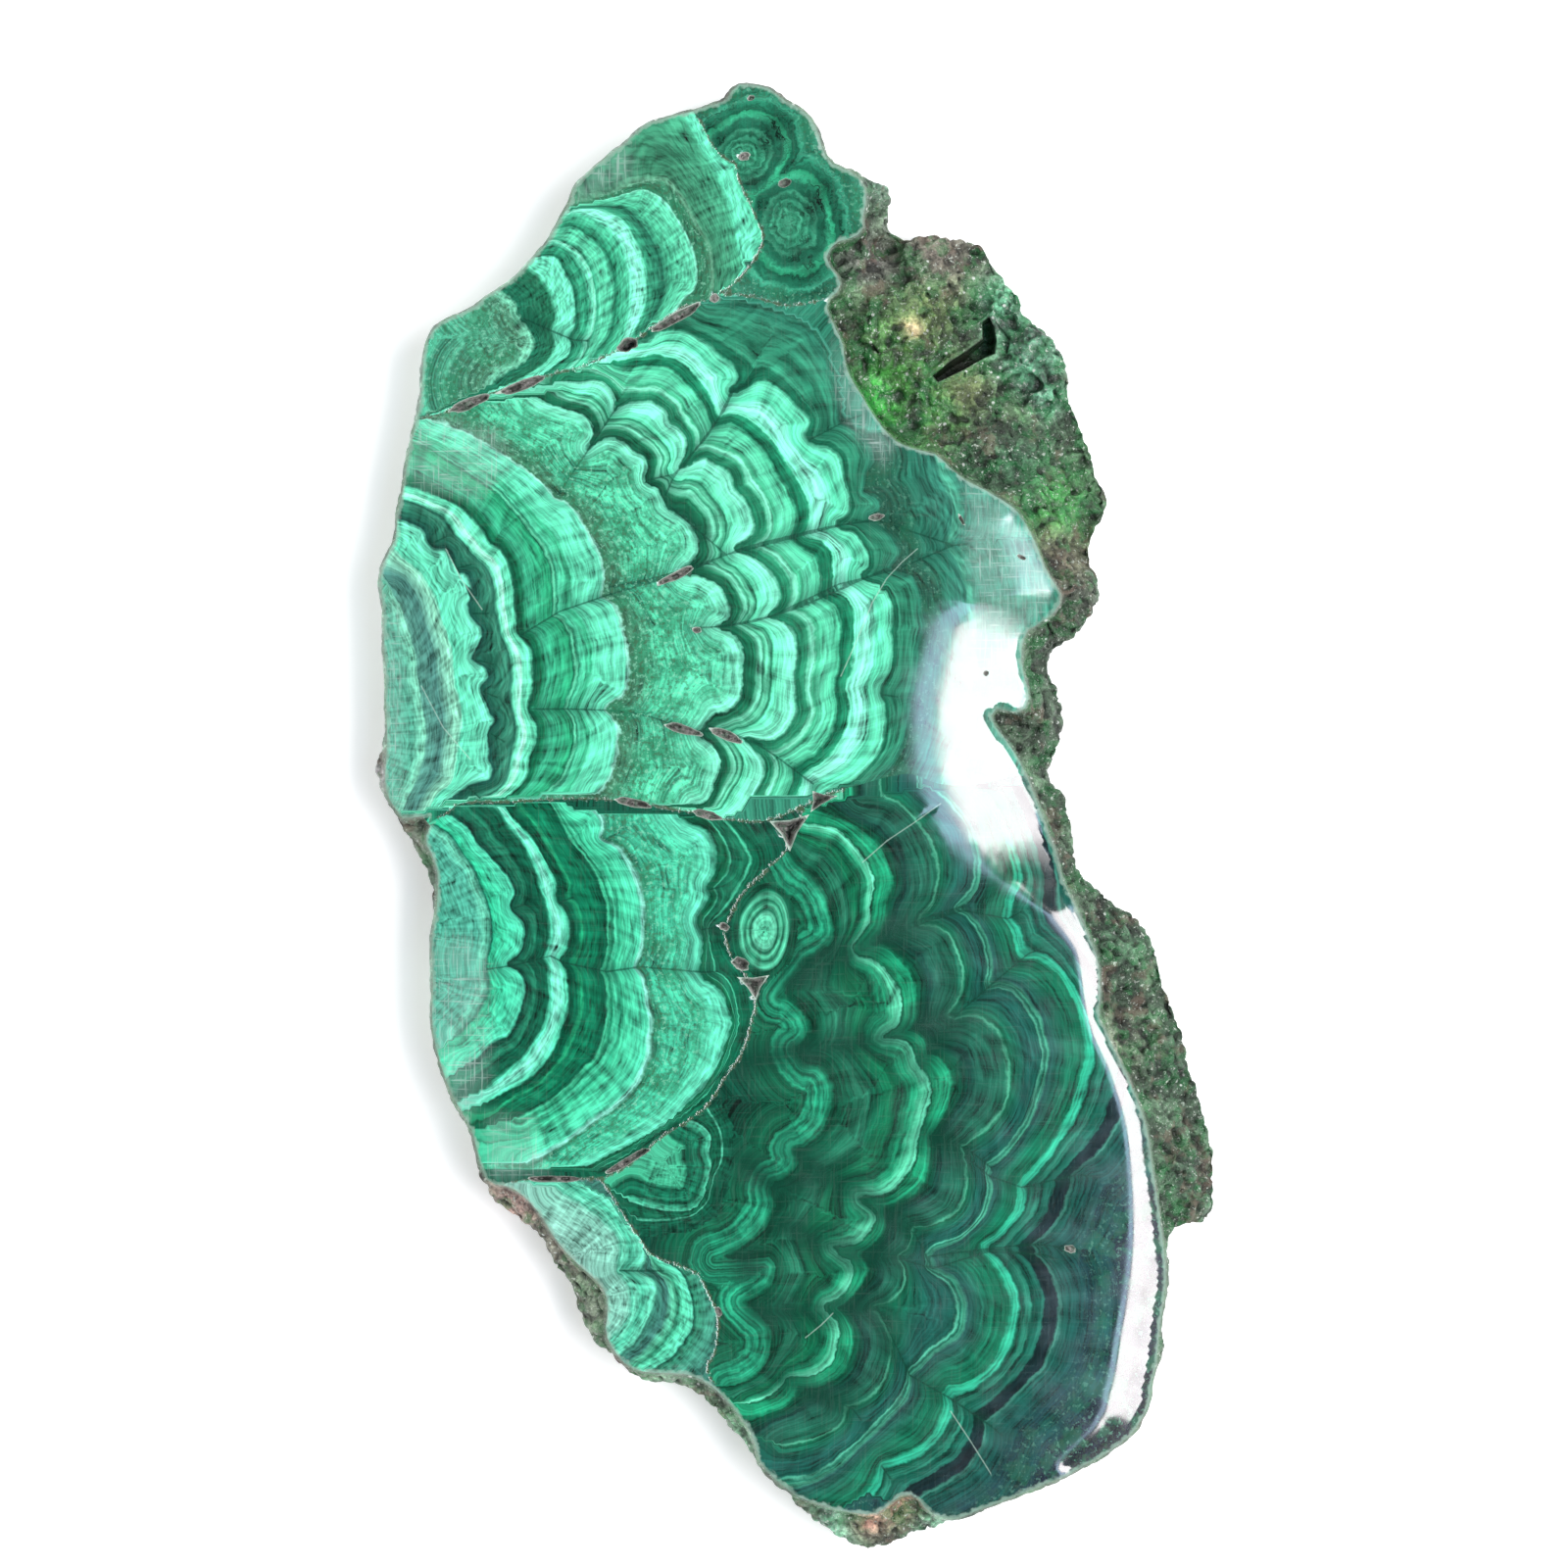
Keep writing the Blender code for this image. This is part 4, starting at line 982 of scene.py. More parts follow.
@dataclass(frozen=True)
class Rind(Finish):
    """The natural skin: crusty, dark, with glassy green where it is freshly broken."""

    name: str = "natural_rind"
    roughness: float = 0.46

    def material(self) -> bpy.types.Material:
        """Makes the finish.

        Returns:
            The material.
        """
        material, sketch = self.begin()
        place = sketch.place()
        tint = sketch.attribute("tint", "Color")
        parts = sketch.node("SeparateColor", {0: tint}).outputs
        glassy = sketch.spread(sketch.math("SUBTRACT", parts[1], parts[0]), 0.05, 0.16)
        plain = sketch.math("SUBTRACT", 1.0, glassy)
        cloud = sketch.grain(place, 3.4 * MM, 4.5, 0.68)
        speck = sketch.grain(place, 0.5 * MM, 3.0, 0.72)
        # Painted shade and light: the low places of the lumps and specks, which the relief below sinks, are painted
        # darker, and their high places lighter
        factor = sketch.times(sketch.spread(cloud, 0.36, 0.64, 0.2, 2.3), sketch.spread(speck, 0.34, 0.66, 0.6, 1.7))
        bend = sketch.grain(place, 2 * MM, 1.0)
        shift = sketch.node("CombineXYZ", {0: sketch.times(bend, 3 * MM)}).outputs[0]
        bent = sketch.node("VectorMath", {0: place, 1: shift}, operation="ADD").outputs[0]
        chip = sketch.node("TexVoronoi", {"Vector": bent, "Scale": 1 / (1.5 * MM)})
        facet = sketch.node("SeparateColor", {0: chip.outputs["Color"]}).outputs[0]
        factor = sketch.times(factor, sketch.spread(facet, 0.0, 1.0, 0.62, 1.5))
        factor = sketch.times(factor, sketch.math("SUBTRACT", 1.0, sketch.times(glassy, 0.3)))
        color = sketch.shaded(tint, factor)
        brown = sketch.times(sketch.spread(sketch.grain(place, 3.0 * MM, 5.0, 0.65), 0.55, 0.62), plain)
        color = sketch.tinted(color, brown, (116, 98, 84), 0.55)
        green = sketch.spread(sketch.grain(place, 2.4 * MM, 5.0, 0.6), 0.5, 0.58)
        color = sketch.tinted(color, green, (36, 126, 66), 0.5)
        pale = sketch.spread(sketch.grain(place, 0.45 * MM, 3.0, 0.8), 0.6, 0.65)
        color = sketch.tinted(color, pale, (206, 218, 204), 0.8)
        glint = sketch.node("TexVoronoi", {"Vector": place, "Scale": 1 / (1.3 * MM)}).outputs["Distance"]
        lit = sketch.spread(sketch.grain(place, 3.8 * MM, 3.0), 0.47, 0.56)
        color = sketch.tinted(color, sketch.times(sketch.spread(glint, 0.16, 0.1), lit), (228, 236, 228), 0.9)
        # Painted shade: near-black laid where the rind is sunk, in its pits, crust hollows and the crack
        color = sketch.tinted(color, sketch.spread(sketch.attribute("hollow"), 0.36, 0.9), (14, 22, 15), 0.85)
        worn = sketch.spread(sketch.plus(sketch.attribute("edge"), sketch.times(speck, 0.6)), 0.62, 0.36)
        color = sketch.tinted(color, worn, (146, 172, 156), 0.55)

        wet = sketch.times(sketch.math("MAXIMUM", green, glassy), 0.26)
        dull = sketch.spread(cloud, 0.3, 0.7, self.roughness + 0.18, self.roughness - 0.1)
        calm = sketch.math("SUBTRACT", 1.0, sketch.times(glassy, 0.6))
        relief = None
        for height, depth in ((cloud, 1.2 * MM), (facet, 0.14 * MM), (speck, 0.34 * MM)):
            relief = sketch.bump(sketch.times(height, calm), depth, relief)
        sketch.dress(color, sketch.math("SUBTRACT", dull, wet), relief)
        return material


@dataclass(frozen=True)
class Hollow(Finish):
    """The drusy lining of the vugs: grey crystals with pale rims, and dark holes painted as shade where the vug is
    deep.
    """

    name: str = "vug_lining"
    roughness: float = 0.7

    def material(self) -> bpy.types.Material:
        """Makes the finish.

        Returns:
            The material.
        """
        material, sketch = self.begin()
        place = sketch.place()
        depth = sketch.attribute("hollow")
        crystal = sketch.grain(place, 0.35 * MM, 4.0, 0.7)
        color = sketch.mixed(sketch.spread(crystal, 0.4, 0.6), (*linear(96, 100, 92), 1), (*linear(164, 160, 156), 1))
        color = sketch.tinted(color, sketch.spread(sketch.grain(place, 0.8 * MM, 3.0), 0.52, 0.6), (60, 108, 84), 0.5)
        # Painted shade: dark dots for the vug's holes, laid only where the vug is deep
        dots = sketch.spread(sketch.grain(place, 1.1 * MM, 3.0, 0.6), 0.52, 0.58)
        color = sketch.tinted(color, sketch.times(dots, sketch.spread(depth, 0.45, 0.8)), (34, 34, 30), 0.85)
        rim = sketch.spread(sketch.plus(depth, sketch.times(crystal, 0.4)), 0.46, 0.26)
        color = sketch.tinted(color, rim, (186, 208, 194), 0.9)
        rough = sketch.spread(crystal, 0.3, 0.7, self.roughness + 0.1, self.roughness - 0.25)
        sketch.dress(color, rough, sketch.bump(crystal, 0.2 * MM))
        return material


@dataclass(frozen=True)
class SawnBack(Finish):
    """The sawn back: the same bands, matt and paler, under the arcs of the saw."""

    name: str = "sawn_back"
    roughness: float = 0.55
    # How far along each tone comes, then its red, green and blue
    tones: tuple[tuple[float, ...], ...] = (
        (0, 18, 70, 52), (0.3, 40, 112, 82), (0.45, 96, 178, 138), (0.55, 34, 104, 76), (0.75, 108, 190, 150),
        (1, 60, 140, 108),
    )
    # Where the middles of the bands and of the saw's arcs lie, seen from the slab's own, in metres
    band_middle: tuple[float, float, float] = (0.052, 0.012, 0.0)
    saw_middle: tuple[float, float, float] = (0.0, 0.31, 0.0)

    def distance(self, sketch: Sketch, place: Socket, middle: tuple[float, float, float]) -> Socket:
        """Measures how far each place is from the middle of a set of arcs, in metres."""
        moved = sketch.node("VectorMath", {0: place, 1: middle}, operation="ADD").outputs[0]
        return sketch.node("VectorMath", {0: moved}, operation="LENGTH").outputs["Value"]

    def material(self) -> bpy.types.Material:
        """Makes the finish.

        Returns:
            The material.
        """
        material, sketch = self.begin()
        place = sketch.place()
        cells = {"Vector": place, "Scale": 90.0, "Smoothness": 0.25}
        lobes = sketch.node("TexVoronoi", cells, feature="SMOOTH_F1").outputs["Distance"]
        far = self.distance(sketch, place, self.band_middle)
        reach = sketch.plus(sketch.times(far, 210.0), sketch.times(lobes, -1.6))
        reach = sketch.plus(reach, sketch.times(sketch.grain(place, 9 * MM, 3.0), 1.4))
        stops = [(at, (*linear(*rgb), 1)) for at, *rgb in self.tones]
        bands, _ = sketch.ramp(sketch.spread(sketch.streaks(reach, 1.6, 3.0), 0.28, 0.72), stops)
        color = sketch.shaded(bands, sketch.spread(sketch.streaks(reach, 9.0, 2.0), 0.3, 0.7, 0.82, 1.12))
        dusty = sketch.spread(sketch.grain(place, 3 * MM, 5.0, 0.7), 0.3, 0.8, 0.18, 0.5)
        color = sketch.tinted(color, dusty, (112, 146, 126))
        arcs = sketch.streaks(self.distance(sketch, place, self.saw_middle), 2600.0, 3.0)
        color = sketch.tinted(color, sketch.spread(arcs, 0.5, 0.75, 0.0, 0.3), (150, 176, 158))
        rough = sketch.spread(arcs, 0.3, 0.7, self.roughness - 0.1, self.roughness + 0.12)
        relief = sketch.bump(arcs, 0.05 * MM)
        sketch.dress(color, rough, sketch.bump(sketch.grain(place, 0.4 * MM, 3.0), 0.03 * MM, relief))
        return material


@dataclass(frozen=True)
class Paper(Finish):
    """The plain pale ground."""

    name: str = "pale_ground"
    roughness: float = 0.9
    whiteness: float = 0.96
    glow: float = 0.3

    def material(self) -> bpy.types.Material:
        """Makes the finish.

        Returns:
            The material.
        """
        material, sketch = self.begin()
        inputs = sketch.shader().inputs
        inputs["Base Color"].default_value = (self.whiteness, self.whiteness, self.whiteness, 1)
        inputs["Roughness"].default_value = self.roughness
        inputs["Emission Color"].default_value = (1, 1, 1, 1)
        inputs["Emission Strength"].default_value = self.glow
        return material


class Skin(Enum):
    """The kinds of surface of the stone, by the number of their material."""

    POLISH = 0
    RIND = 1
    BACK = 2
    VUG = 3


class Owner(IntEnum):
    """The growths, by their number in the list."""

    LEFT = 0
    LOWER = 1
    UPPER = 2
    RIGHT = 3
    FOOT = 4
    KNOB = 5
    OVAL = 6
    LOBE = 7


@dataclass
class Slab:
    """The whole stone, one piece: its polish cut fine along the seams, and its rind made rough."""

    grid: float = 0.43 * MM
    vug_grid: float = 0.2 * MM
    eye_grid: float = 0.24 * MM
    rind_cuts: int = 3
    crust: float = 0.85 * MM
    pitting: float = 0.3 * MM
    shoulder_bend: float = 0.45
    # How far round a vug its own finer points may lie, and how far round an eye, in pixels
    vug_reach: float = 6 * MM
    eye_patch: float = 46.0
    # How many of its own half widths the oval eye reaches
    oval_rings: float = 4.2
    # The sawn back's faces lie below the first height, and the broken ledge and its crack above the second
    back_slack: float = 0.01 * MM
    ledge_floor: float = 2 * MM

    def __post_init__(self) -> None:
        """Sets out the growths, the seams and the edge of the polish."""
        self.edge = closed_curve(pairs(POLISH_EDGE), 1 * MM)
        self.edge_pixels = to_pixels(self.edge)
        self.growths = [
            Growth("left_fan", 0, ((300, 820), (300, 430)), FAN_LEFT, LEFT_TONES, 0.92, 0.93, 45, 62),
            Growth("lower_fan", 20, ((300, 1200), (300, 830)), FAN_LOWER, LOWER_TONES, 0.81, 0.7, 60, 30),
            Growth("upper_fan", 40, ((400, 440), (480, 240)), FAN_UPPER, UPPER_TONES, 0.88, 0.98, 90, 40),
            Growth("right_fan", RIGHT_START, ((650, 1430), (650, 860)), FAN_RIGHT, RIGHT_TONES, 0.7, 0.7, 70, 55),
            Growth("foot", 80, ((500, 1400), (500, 1200)), FAN_FOOT, FOOT_TONES, 0.86, 0.86, 60, 30),
            Eyes("knob", KNOB_START, KNOB_EYES, KNOB_TONES, 0.9),
            Eyes("oval_eye", OVAL_START, [OVAL_EYE], EYE_TONES, 0.8),
            Growth("small_lobe", 110, ((600, 1200), (680, 1140)), LOBE, LOBE_TONES, 0.62, 0.7, 40, 12),
        ]
        self.seam_lines = {name: curved(pairs(text)) for name, text in SEAMS.items()}
        self.ribs = [curved(pairs(text)) for text in FINE_SEAMS]
        for growth in self.growths[: Owner.FOOT + 1]:
            self.ribs += ribs_of(growth)
        self.scratches = [pairs(text) for text in SCRATCHES]
        self.crack = to_metres(pairs(CRACK))

    def owners(self, spots: np.ndarray) -> np.ndarray:
        """Tells which growth holds each place.

        Args:
            spots: places in pixels.

        Returns:
            For each place the number of its growth in the list.
        """
        seams = self.seam_lines
        west, north, east, south = -400.0, -400.0, 1700.0, 2000.0
        roof = [(east, 300), (east, north), (west, north), (west, 440)]
        above = inside(spots, np.vstack([seams["upper_left"], seams["top"], roof]))
        corner = [(west, 440), (west, north), (690, north)]
        before = inside(spots, np.vstack([seams["column"], seams["upper_left"][::-1], corner]))
        middle = inside(spots, np.vstack([seams["middle"], [(east, 780), (east, north), (west, north), (west, 838)]]))
        lower = inside(spots, np.vstack([seams["lower"], [(west, 1216), (west, north), (822, north)]]))
        foot = inside(spots, np.vstack([seams["foot"], [(760, south), (west, south), (west, 1150), (600, 1190)]]))
        lobe = inside(spots, pairs(LOBE_AREA)) & ~foot
        x, y, wide, high = OVAL_EYE
        oval = np.hypot((spots[:, 0] - x) / wide, (spots[:, 1] - y) / high) < self.oval_rings
        owner = np.full(len(spots), Owner.RIGHT.value)
        held = (
            (foot, Owner.FOOT), (lobe, Owner.LOBE), (oval, Owner.OVAL), (lower, Owner.LOWER), (middle, Owner.LEFT),
            (above, Owner.KNOB), (above & before, Owner.UPPER),
        )
        for flags, number in held:
            owner[flags] = number
        return owner

    def height(self, points: np.ndarray) -> np.ndarray:
        """Finds the height of the polished face: flat, and rolled down along the right-hand edge.

        Args:
            points: places in metres.

        Returns:
            The heights in metres.
        """
        rolled_near = self.rolled_height(points, self.edge, SHOULDER, True)
        rolled_far = self.rolled_height(points, to_metres(curved(np.array(FOLD)[:, :2], 3.0)), FOLD, False)
        gaps, _ = nearest_on(points, self.edge, True)
        return rolled_near + (rolled_far - rolled_near) * smoothstep(gaps / (0.3 * MM))

    def rolled_height(self, points: np.ndarray, edge: np.ndarray, shoulder: list, closed: bool) -> np.ndarray:
        """Finds the height of the polish beside one edge.

        Args:
            points: places in metres.
            edge: the edge that the polish rolls down to.
            shoulder: how wide the roll is and how far it drops, at places along the edge.
            closed: True where the edge's last point joins its first.

        Returns:
            The heights in metres.
        """
        gaps, where = nearest_on(points, edge, closed)
        places = [nearest_index(edge, to_metres((x, y))) for x, y, _, _ in shoulder]
        width = np.interp(where, places, [wide * MM for _, _, wide, _ in shoulder])
        drop = np.interp(where, places, [deep * MM for _, _, _, deep in shoulder])
        rolled = (np.floor(where) > places[0]) & (where < places[-1] - 0.001)
        near = np.clip(1 - gaps / width, 0, 1)
        bend = self.shoulder_bend
        roll = np.where(near < bend, near**2 / (2 * bend), near - bend / 2) / (1 - bend / 2)
        return TOP - np.where(rolled, drop * roll, 0)

    def vug_rims(self) -> list[tuple[np.ndarray, float]]:
        """Draws the rim of every vug.

        Returns:
            Each rim's points in metres, and its depth in metres.
        """
        rims = []
        for number, (x0, y0, x1, y1, width, depth) in enumerate(VUGS):
            a, b = to_metres((x0, y0)), to_metres((x1, y1))
            half = (b - a) / 2
            side = np.array([-half[1], half[0]]) / np.linalg.norm(half) * width * PIXEL / 2
            points = []
            for t in np.linspace(0, math.tau, 22, endpoint=False):
                ragged = 1 + 0.3 * noise.noise(Vector((math.cos(t) * 1.7, math.sin(t) * 1.7, number * 3.1)))
                points.append((a + b) / 2 + (half * math.cos(t) + side * math.sin(t)) * ragged)
            rims.append((np.array(points), depth * MM))
        for *corners, depth in CORNER_VUGS:
            tips = to_metres(np.array(corners).reshape(-1, 2))
            middle = tips.mean(0)
            waists = (tips + np.roll(tips, -1, 0)) * 0.4 + middle * 0.2
            outline = np.stack([tips, waists], axis=1).reshape(-1, 2)
            shares = np.linspace(0, 1, 4, endpoint=False)
            fine = np.vstack([p + (q - p) * s for p, q in zip(outline, np.roll(outline, -1, 0)) for s in shares])
            rims.append((fine, depth * MM))
        return rims

    def rind_shape(self, cad: bpy.types.Object) -> bmesh.types.BMesh:
        """Takes the stone's solid without its polished face, cut fine and made rough.

        Args:
            cad: the solid.

        Returns:
            The rough shape, open where the polish comes.
        """
        shape = bmesh.new()
        shape.from_mesh(cad.data)
        shape.verts.layers.float.new("hollow")
        bmesh.ops.remove_doubles(shape, verts=shape.verts, dist=1e-6)
        middles = np.array([face.calc_center_median() for face in shape.faces])
        polished = inside(middles[:, :2], self.edge) & (middles[:, 2] > 4 * MM)
        gone = [face for face, flag in zip(shape.faces, polished) if flag]
        bmesh.ops.delete(shape, geom=gone, context="FACES")
        above = {face for face in shape.faces if face.calc_center_median().z > self.back_slack}
        cut = [edge for edge in shape.edges if any(face in above for face in edge.link_faces)]
        bmesh.ops.subdivide_edges(shape, edges=cut, cuts=self.rind_cuts, use_grid_fill=True)
        bmesh.ops.triangulate(shape, faces=shape.faces)
        loose = [vert for vert in shape.verts if not vert.is_boundary and vert.co.z > 0.2 * MM]
        spots = np.array([vert.co[:2] for vert in loose])
        cracked = (nearest_on(spots, self.crack, True)[0] < 0.45 * MM) | inside(spots, self.crack)
        cracked &= np.array([vert.co.z for vert in loose]) > self.ledge_floor
        free = [vert for vert, flag in zip(loose, cracked) if not flag]
        for _ in range(5):
            bmesh.ops.smooth_vert(shape, verts=free, factor=0.5, use_axis_x=True, use_axis_y=True, use_axis_z=True)
        self.roughen(shape, free)
        return shape

    def roughen(self, shape: bmesh.types.BMesh, free: list) -> None:
        """Moves the rind inward here and there, as crust, pits and small crystals.

        Args:
            shape: the stone without its polish.
            free: the points that may move.
        """
        shape.normal_update()
        layer = shape.verts.layers.float["hollow"]
        places = np.array([vert.co for vert in free])
        gaps, _ = nearest_on(places[:, :2], self.edge, True)
        fade = smoothstep((gaps - 0.1 * MM) / (0.9 * MM)) * smoothstep(places[:, 2] / (1.2 * MM))
        moves = []
        for vert, share in zip(free, fade):
            crust = min(max(0.5 + 0.6 * noise.fractal(vert.co / (3.1 * MM), 0.9, 2.1, 5), 0), 1)
            cells = noise.voronoi(vert.co / (1.7 * MM))[0]
            pits = min(max((noise.noise(vert.co / (0.8 * MM)) - 0.1) * 2.5, 0), 1)
            knobs = min(max(1 - (cells[1] - cells[0]) * 1.8, 0), 1) ** 2
            depth = self.crust * (0.6 * crust + 0.4 * knobs) + self.pitting * pits
            # How sunk each point is: the rind's finish paints these places dark, as painted shade
            vert[layer] = float(share) * min(max(0.45 * knobs + 0.45 * pits + 0.35 * crust, 0), 1)
            moves.append(vert.normal * (-depth * float(share)))
        for vert, move in zip(free, moves):
            vert.co += move
        # The crack is marked fully sunk, so the rind's finish paints it dark as painted shade
        for vert in shape.verts:
            if vert.co.z > self.ledge_floor and inside(np.array([vert.co[:2]]), self.crack)[0]:
                vert[layer] = 1.0

    def polish_shape(self, rim: np.ndarray) -> tuple[np.ndarray, np.ndarray, np.ndarray, np.ndarray]:
        """Fills the polished face with a fine mesh that follows the seams and the vugs.

        Args:
            rim: the points round it, in order, in metres.

        Returns:
            Its points, the rim's first; its faces; how deep in a vug each point is, 0 to 1; and True for each
            face that lies in a vug.
        """
        rims = self.vug_rims()
        lines = [to_metres(line) for line in [*self.seam_lines.values(), *self.ribs, *self.scratches]]
        points, edges = self.linework(rim, lines + [np.vstack([outline, outline[:1]]) for outline, _ in rims])
        points += self.fill_spots(rim, lines, rims)
        made, _, faces, origins, *_ = delaunay_2d_cdt([Vector(p / MM) for p in points], edges, [], 1, 1e-5)
        flat = np.array([tuple(p) for p in made]) * MM
        order = np.full(len(flat), -1)
        for index, sources in enumerate(origins):
            on_rim = [source for source in sources if source < len(rim)]
            if on_rim:
                order[index] = on_rim[0]
        others = np.flatnonzero(order < 0)
        order[others] = len(rim) + np.arange(len(others))
        places = np.zeros((len(rim) + len(others), 3))
        places[: len(rim)] = rim
        places[len(rim) :, :2] = flat[others]
        places[len(rim) :, 2] = self.height(flat[others])
        depth = self.sink_vugs(places, rims)
        triangles = order[np.array([face for face in faces if len(face) == 3])]
        middles = places[triangles, :2].mean(1)
        lined = np.zeros(len(triangles), bool)
        for outline, _ in rims:
            near = np.flatnonzero(np.hypot(*(middles - outline.mean(0)).T) < self.vug_reach)
            lined[near] |= inside(middles[near], outline)
        return places, triangles, depth, lined

    def fill_spots(self, rim: np.ndarray, lines: list, rims: list) -> list[np.ndarray]:
        """Sets out the free points of the polished face, clear of every line and finer in eyes and vugs.

        Args:
            rim: the points round the face.
            lines: its seams, ribs and scratches, in metres.
            rims: the vugs' rims and depths.

        Returns:
            The points, in metres.
        """
        spots = self.scatter(self.edge.min(0), self.edge.max(0), self.grid)
        reach = self.eye_patch + 2
        for x, y, _, _ in [*KNOB_EYES, OVAL_EYE]:
            fine = self.scatter(to_metres((x - reach, y + reach)), to_metres((x + reach, y - reach)), self.eye_grid)
            outer, inner = (np.hypot(*(some - to_metres((x, y))).T) / PIXEL for some in (spots, fine))
            spots = np.vstack([spots[outer > self.eye_patch], fine[inner < self.eye_patch]])
        border = np.vstack([rim, rim[:1]])[:, :2]
        spots = spots[inside(spots, self.edge)]
        spots = spots[gap_to(spots, [border], 0.1 * MM) > 0.28 * MM]
        spots = spots[gap_to(spots, lines, 0.05 * MM) > 0.16 * MM]
        extra = []
        for outline, _ in rims:
            near = np.hypot(*(spots - outline.mean(0)).T) < self.vug_reach
            clear = np.ones(len(spots), bool)
            clear[near] = (nearest_on(spots[near], outline, True)[0] > 0.18 * MM) & ~inside(spots[near], outline)
            spots = spots[clear]
            fill = self.scatter(outline.min(0), outline.max(0), self.vug_grid)
            fill = fill[inside(fill, outline)]
            extra += [*fill[nearest_on(fill, outline, True)[0] > 0.1 * MM]]
        return [*spots] + extra

    def linework(self, rim: np.ndarray, lines: list) -> tuple[list, list]:
        """Sets out the edges that the face's mesh has to follow: its rim, and each line where it crosses the face.

        Args:
            rim: the points round the face.
            lines: the lines, in metres.

        Returns:
            The points, the rim's first, and the pairs of their numbers that an edge joins.
        """
        points = [*rim[:, :2]]
        edges = [(i, (i + 1) % len(rim)) for i in range(len(rim))]
        for line in lines:
            kept = inside(line, self.edge) & (nearest_on(line, self.edge, True)[0] > 0.3 * MM)
            last = None
            for index, spot in enumerate(line):
                if kept[index]:
                    points.append(spot)
                    here = len(points) - 1
                    if last is not None:
                        edges.append((last, here))
                    elif index > 0:
                        edges.append((nearest_index(rim[:, :2], spot), here))
                    last = here
                elif last is not None:
                    edges.append((last, nearest_index(rim[:, :2], points[last])))
                    last = None
        return points, edges

    def sink_vugs(self, places: np.ndarray, rims: list) -> np.ndarray:
        """Lowers the points that lie in vugs.

        Args:
            places: the face's points, which are moved.
            rims: the vugs' rims and depths.

        Returns:
            How deep in a vug each point is, 0 to 1.
        """
        depth = np.zeros(len(places))
        for outline, deep in rims:
            near = np.flatnonzero(np.hypot(*(places[:, :2] - outline.mean(0)).T) < self.vug_reach)
            held = near[inside(places[near, :2], outline)]
            if len(held):
                gaps = nearest_on(places[held, :2], outline, True)[0]
                share = smoothstep(gaps / max(gaps.max() * 0.75, 1e-6))
                rough = np.array([0.8 + 0.4 * noise.noise(Vector(p) / (0.5 * MM)) for p in places[held]])
                depth[held] = share
                places[held, 2] -= deep * share * np.clip(rough, 0.5, 1)
        return depth

    def scatter(self, low: np.ndarray, high: np.ndarray, step: float) -> np.ndarray:
        """Sets points out on a triangular grid.

        Args:
            low: the lowest corner.
            high: the highest corner.
            step: how far apart the points are.

        Returns:
            The points.
        """
        rows = np.arange(low[1], high[1], step * math.sqrt(0.75))
        columns = np.arange(low[0], high[0], step)
        x, y = np.meshgrid(columns, rows)
        x = x + (np.arange(len(rows))[:, None] % 2) * step / 2
        return np.column_stack([x.ravel(), y.ravel()])

    def rim_order(self, shape: bmesh.types.BMesh) -> list[int]:
        """Follows the open edge of the rind round the polish.

        Args:
            shape: the stone without its polish.

        Returns:
            The numbers of the edge's points, in order.
        """
        shape.verts.index_update()
        open_edges = {
            vert: [edge.other_vert(vert) for edge in vert.link_edges if edge.is_boundary]
            for vert in shape.verts if vert.is_boundary
        }
        start = next(iter(open_edges))
        order, previous, here = [start.index], None, start
        while True:
            ahead = [vert for vert in open_edges[here] if vert is not previous]
            previous, here = here, ahead[0]
            if here is start:
                return order
            order.append(here.index)

    def build(self, cad: bpy.types.Object) -> bpy.types.Object:
        """Builds the stone and dresses it.

        Args:
            cad: the solid that it stands for.

        Returns:
            The piece.
        """
        shape = self.rind_shape(cad)
        order = self.rim_order(shape)
        base = np.array([tuple(vert.co) for vert in shape.verts])
        layer = shape.verts.layers.float["hollow"]
        hollow = np.array([vert[layer] for vert in shape.verts])
        rind_faces = np.array([[vert.index for vert in face.verts] for face in shape.faces])
        shape.free()
        rim = base[order]
        places, triangles, vug, in_vug = self.polish_shape(rim)
        numbers = np.concatenate([np.array(order), len(base) + np.arange(len(places) - len(rim))])
        points = np.vstack([base, places[len(rim) :]])
        hollow = np.concatenate([hollow, vug[len(rim) :]])
        top = numbers[triangles]
        a, b, c = (points[top[:, k], :2] for k in range(3))
        turn = (b - a)[:, 0] * (c - a)[:, 1] - (b - a)[:, 1] * (c - a)[:, 0]
        top[turn < 0] = top[turn < 0][:, ::-1]
        LOG.info("rind %d faces, polish %d faces", len(rind_faces), len(top))

        mesh = bpy.data.meshes.new("malachite_stone")
        mesh.from_pydata(points.tolist(), [], np.vstack([rind_faces, top]).tolist())
        middles = points[rind_faces].mean(1)
        skins = np.where(middles[:, 2] < self.back_slack, Skin.BACK.value, Skin.RIND.value)
        skins = np.concatenate([skins, np.where(in_vug, Skin.VUG.value, Skin.POLISH.value)])
        mesh.polygons.foreach_set("material_index", skins.astype(np.int32))
        self.write_growth(mesh, points, len(rind_faces), top)
        self.write_masks(mesh, points, hollow, len(base))
        mesh.shade_smooth()
        mesh.set_sharp_from_angle(angle=math.radians(48))
        mesh.materials.append(Polish().material(self.growths))
        for finish in (Rind(), SawnBack(), Hollow()):
            mesh.materials.append(finish.material())
        stone = bpy.data.objects.new("malachite_stone", mesh)
        bpy.context.scene.collection.objects.link(stone)
        return stone

